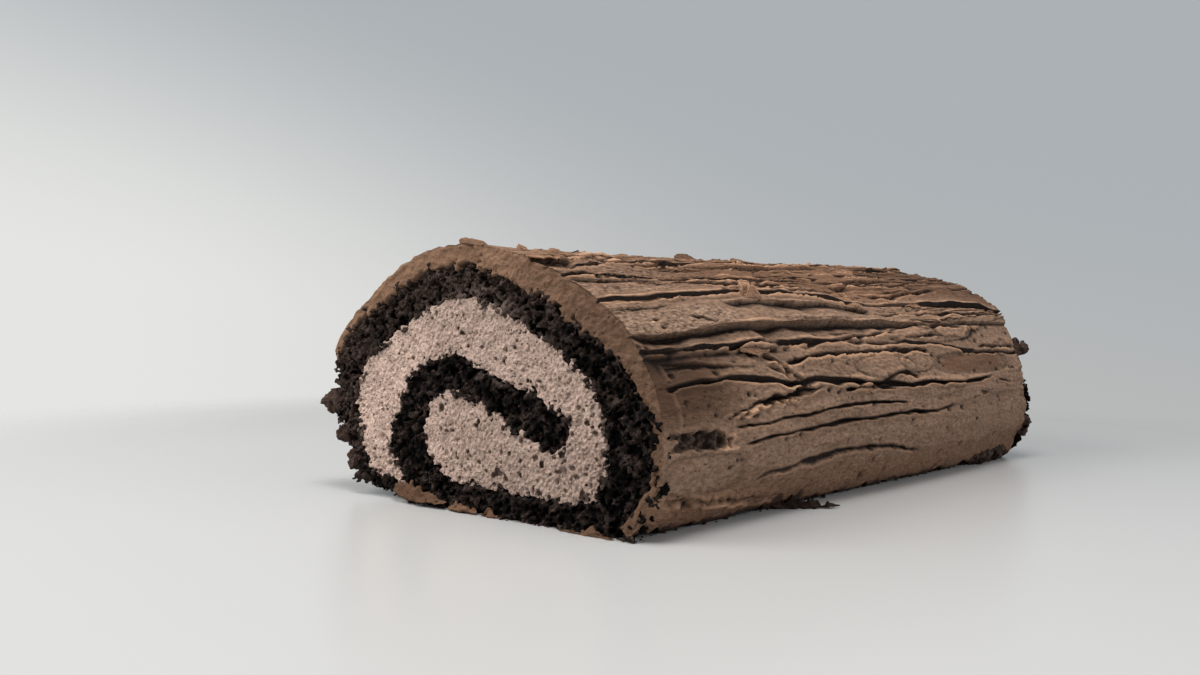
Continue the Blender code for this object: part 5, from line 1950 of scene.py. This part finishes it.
@dataclass
class TornFlaps:
    """The torn leaves of the coat and the shreds at its foot."""

    steps_along: int = 46
    steps_across: tuple[int, int] = (8, 7)  # of a leaf and of a shred
    cells_across: int = 5  # of the flat map's chart, one for each leaf or shred

    def leaf(self, row: Flap, seed: int) -> Mesh:
        """One leaf, with both its sides."""
        along = np.linspace(0.0, 1.0, self.steps_along)
        across = np.linspace(0.0, 1.0, self.steps_across[0])
        x = row.x + row.length * along + 0.25 * noise([along * 7.0], seed)
        full = row.tip + (1.0 - row.tip) * np.sin(np.pi * along) ** 0.7
        ragged = 1.0 + 0.2 * noise([along * row.length / 1.6], seed + 1)
        ragged = ragged + 0.1 * noise([along * row.length / 0.5], seed + 2)
        width = row.width * full * ragged
        turn = row.curl * across[None]
        spine = row.distance + row.lean * row.length * along + 0.2 * noise([along * 5.0], seed + 3)
        distance = spine[:, None] + width[:, None] * np.sin(turn) / row.curl
        place = x[:, None] + 0.0 * distance
        height = IcingCoat().coat(distance, place) + IcingCoat.sunk_in + row.over
        height = height + (row.lift * full)[:, None] * across[None] ** 1.3
        height = height - np.abs(width)[:, None] * (1.0 - np.cos(turn)) / row.curl * 0.3
        height = height + 0.16 * noise([along * row.length / 1.1, across * 2.5], seed + 4)
        to_tip = np.minimum(1.0, 4.0 * np.minimum(along, 1.0 - along))[:, None]
        half = row.thick * 0.5 * (0.25 + 0.75 * ((1.0 - 0.75 * across**1.5)[None] * to_tip))
        top, bottom = (FORM.outside(distance, place, height + side * half) for side in (1.0, -1.0))
        lit = np.concatenate([across**2, (across**2)[::-1]])[None] * np.ones((len(along), 1))
        return self.two_sided(top, bottom, True, lip=0.15 * row.lit + row.lit * lit, deep=row.dark, warm=0.6)

    def two_sided(self, top: Array, bottom: Array, flipped: bool, **masks: Array) -> Mesh:
        """A thin closed leaf.

        Args:
            top: rows of points of its upper side.
            bottom: those of its lower side, in the same order.
            flipped: whether the order of its faces is turned about.
            masks: the value of each mask.

        Returns:
            The leaf.
        """
        points = on_table(np.concatenate([top, bottom[:, ::-1]], axis=1))
        rows, ring = points.shape[:2]
        spread = {name: np.broadcast_to(value, (rows, ring)).reshape(-1) for name, value in masks.items()}
        quads = ring_quads(rows, ring)
        return Mesh(points.reshape(-1, 3), quads[:, ::-1] if flipped else quads, grid_uv(rows, ring), spread)

    def shred(self, row: Shred, seed: int) -> Mesh:
        """One shred, as a ragged upright leaf with both its sides."""
        along = np.linspace(0.0, 1.0, self.steps_along)
        across = np.linspace(0.0, 1.0, self.steps_across[1])
        places = np.linspace(0.0, 1.0, len(row.knots))
        x, y, low, high = (np.interp(along, places, values) for values in zip(*row.knots))
        length = math.hypot(x[-1] - x[0], y[-1] - y[0])
        low = low + 0.14 * noise([along * length / 0.9], seed)
        jagged = 0.6 * noise([along * length / 1.2], seed + 1) + 0.4 * noise([along * length / 0.5], seed + 3)
        high = np.maximum(low + 0.1, high + jagged * np.sin(np.pi * along))
        z = np.maximum(low[:, None] + (high - low)[:, None] * across[None], 0.0)
        out = row.out + 0.3 * noise([along * length / 1.3, across * 2.0], seed + 2)
        out = out - 0.8 * row.out * across[None]
        facing = np.array([y[0] - y[-1], x[-1] - x[0]]) / length
        facing = facing if facing.sum() < 0.0 else -facing
        thick = row.thick * np.sin(np.pi * np.clip(along, 0.03, 0.97))[:, None]
        outer, inner = (
            FORM.swollen(x[:, None] + facing[0] * over, y[:, None] + facing[1] * over, z)
            for over in (out + thick, out)
        )
        return self.two_sided(outer, inner, False, lip=row.lit, band=0.5, deep=row.dark, warm=1.0)

    def build(self, looks: Looks) -> bpy.types.Object:
        """Builds all the leaves as one piece."""
        made = [self.leaf(row, 500 + 10 * k) for k, row in enumerate(FLAPS.values())]
        made += [self.shred(row, 800 + 10 * k) for k, row in enumerate(SHREDS.values(), len(FLAPS))]
        cells = (self.cells_across, self.cells_across)
        made = [mesh.in_cell(number, cells, 0.97) for number, mesh in enumerate(made)]
        return make_piece("torn_icing", reduce(Mesh.joined, made), looks.icing, True)


# ---------------------------------------------------------------- the room


@dataclass
class Studio:
    """The floor, the backdrop, the lights and the camera."""

    lens: float = 26.85
    camera_place: Place = (-0.21717, -0.15924, 0.0418)
    camera_turn: Place = (89.341, -0.957, -45.489)
    sky_top: Colour = (0.41, 0.44, 0.465)
    sky_left: Colour = (0.78, 0.785, 0.765)
    sky_right: Colour = (0.50, 0.50, 0.485)
    sky_dim: Colour = (0.24, 0.245, 0.25)
    to_right: Place = (0.7009, -0.7132, 0.0)  # the directions to the view's right and back to its camera
    to_camera: Place = (-0.7132, -0.7009, 0.0)
    floor_radius: float = 2.4
    floor_colour: Colour = (0.445, 0.445, 0.441)
    floor_fades: Pair = (0.34, 0.19)  # how far out it is gone, and how far out it is still whole
    # each light's name, place, target, size, power and tint
    soft_lights: tuple[tuple[str, Place, Place, float, float, Colour], ...] = (
        ("overhead", (-0.16, -0.10, 0.56), (-0.03, 0.0, 0.0), 0.26, 2.8, (1.0, 0.985, 0.96)),
        ("left_window", (-0.60, 0.28, 0.50), (0.0, 0.0, 0.03), 0.42, 5.3, (1.0, 0.98, 0.95)),
        ("front_fill", (0.16, -0.60, 0.30), (0.02, 0.0, 0.03), 0.4, 1.7, (0.97, 0.98, 1.0)),
    )

    def floor(self) -> None:
        """A plain pale table top that fades out away from the roll."""
        rings, spokes = 24, 96
        radius = self.floor_radius * (np.arange(1, rings + 1)[:, None] / rings) ** 2
        turn = 2.0 * math.pi * np.arange(spokes)[None] / spokes
        points = np.stack([radius * np.cos(turn), radius * np.sin(turn), 0.0 * radius * turn], -1)
        points = points.reshape(-1, 3)
        fan = [(0, 1 + spoke, 1 + (spoke + 1) % spokes) for spoke in range(spokes)]
        data = bpy.data.meshes.new("floor")
        faces = fan + (ring_quads(rings, spokes) + 1).tolist()
        data.from_pydata([(0.0, 0.0, 0.0), *points.tolist()], [], faces)
        paint = Paint("pale_floor", (0.8, 0.8, 0.8), 0.3, 0.45)
        paint.shader.inputs["Base Color"].default_value = (*self.floor_colour, 1.0)
        tree = paint.tree
        place = tree.nodes.new("ShaderNodeTexCoord").outputs["Object"]
        away = linked(tree, "ShaderNodeVectorMath", {"operation": "LENGTH"}, {0: place}).outputs["Value"]
        tree.links.new(ranged(tree, away, *self.floor_fades), paint.shader.inputs["Alpha"])
        data.materials.append(paint.material)
        board = bpy.data.objects.new("floor", data)
        bpy.context.scene.collection.objects.link(board)
        board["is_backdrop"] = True

    def lights(self) -> None:
        """A broad light overhead, one from behind the left, and a weak fill in front."""
        for name, place, target, size, watts, tint in self.soft_lights:
            lamp = bpy.data.lights.new(name, "AREA")
            lamp.shape = "SQUARE"
            lamp.size, lamp.energy, lamp.color = size, watts, tint
            made = bpy.data.objects.new(name, lamp)
            bpy.context.scene.collection.objects.link(made)
            made.location = place
            made.rotation_euler = (Vector(target) - Vector(place)).to_track_quat("-Z", "Y").to_euler()

    def world(self) -> None:
        """A pale surround, brighter low on the left than overhead."""
        made = bpy.data.worlds.new("surround")
        made.use_nodes = True
        tree = made.node_tree
        way = tree.nodes.new("ShaderNodeTexCoord").outputs["Generated"]
        dot = {"operation": "DOT_PRODUCT"}
        across, behind = (
            linked(tree, "ShaderNodeVectorMath", dot, {0: way, 1: axis}).outputs["Value"]
            for axis in (self.to_right, self.to_camera)
        )
        up = linked(tree, "ShaderNodeSeparateXYZ", {}, {0: way}).outputs[2]
        level = blended(tree, ranged(tree, across, -0.5, 0.35), self.sky_left, self.sky_right)
        climb = added(tree, up, across, 0.25)
        colour = blended(tree, ranged(tree, climb, -0.08, 0.3), level, self.sky_top)
        dim = maths(tree, "MAXIMUM", ranged(tree, behind, -0.5, 0.3), ranged(tree, up, 0.35, 0.8))
        back = tree.nodes["Background"]
        tree.links.new(blended(tree, dim, colour, self.sky_dim), back.inputs["Color"])
        back.inputs["Strength"].default_value = 1.0
        bpy.context.scene.world = made

    def camera(self) -> None:
        """The camera low in front of the near cut."""
        lens = bpy.data.cameras.new("view")
        lens.lens, lens.sensor_width = self.lens, 36.0
        lens.clip_start, lens.clip_end = 0.005, 20.0
        made = bpy.data.objects.new("view", lens)
        bpy.context.scene.collection.objects.link(made)
        made.location = self.camera_place
        made.rotation_euler = tuple(math.radians(angle) for angle in self.camera_turn)
        bpy.context.scene.camera = made

    def build(self) -> None:
        """Sets up the room."""
        self.floor()
        self.lights()
        self.world()
        self.camera()
        bpy.context.scene.view_settings.view_transform = "Standard"


def main() -> None:
    """Builds the roll piece by piece and sets up the room."""
    logging.basicConfig(level=logging.INFO, format="%(message)s")
    looks = Looks.make()
    filling = {"low": (-3.0, 3.0), "high": (93.0, 54.0)}  # the part of the section that the cream takes up
    icing = IcingCoat().build(looks)
    sponge = SpongeCut(Block(0.3, 1.5, 2.4), 101, name="sponge_cut_near").build(looks)
    cream = [CreamCut(Block(0.25, 0.6, 1.2, **filling), 131, name="cream_cut_near").build(looks)]
    sponge += SpongeCut(Block(0.55, 1.4, 2.6, True), 161, 1200, "sponge_cut_far").build(looks)
    cream.append(CreamCut(Block(0.5, 0.8, 1.6, True, **filling), 181, 3000, "cream_cut_far").build(looks))
    sponge += SpongeSide().build(looks)
    sponge_core, cream_core = InnerBodies().build(looks)
    sponge += [sponge_core, CrumbLumps().build(looks), LooseCrumbs().build(looks)]
    flaps = TornFlaps().build(looks)
    for piece in icing + [flaps]:
        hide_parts("icing")
    for piece in sponge:
        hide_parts("sponge")
    for piece in cream + [cream_core]:
        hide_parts("cream")
    Studio().build()
    bpy.context.view_layer.update()
    sizes = {name: [list(corner) for corner in box] for name, box in (("cad", CAD_BOX), ("scene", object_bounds()))}


if __name__ == "__main__":
    main()
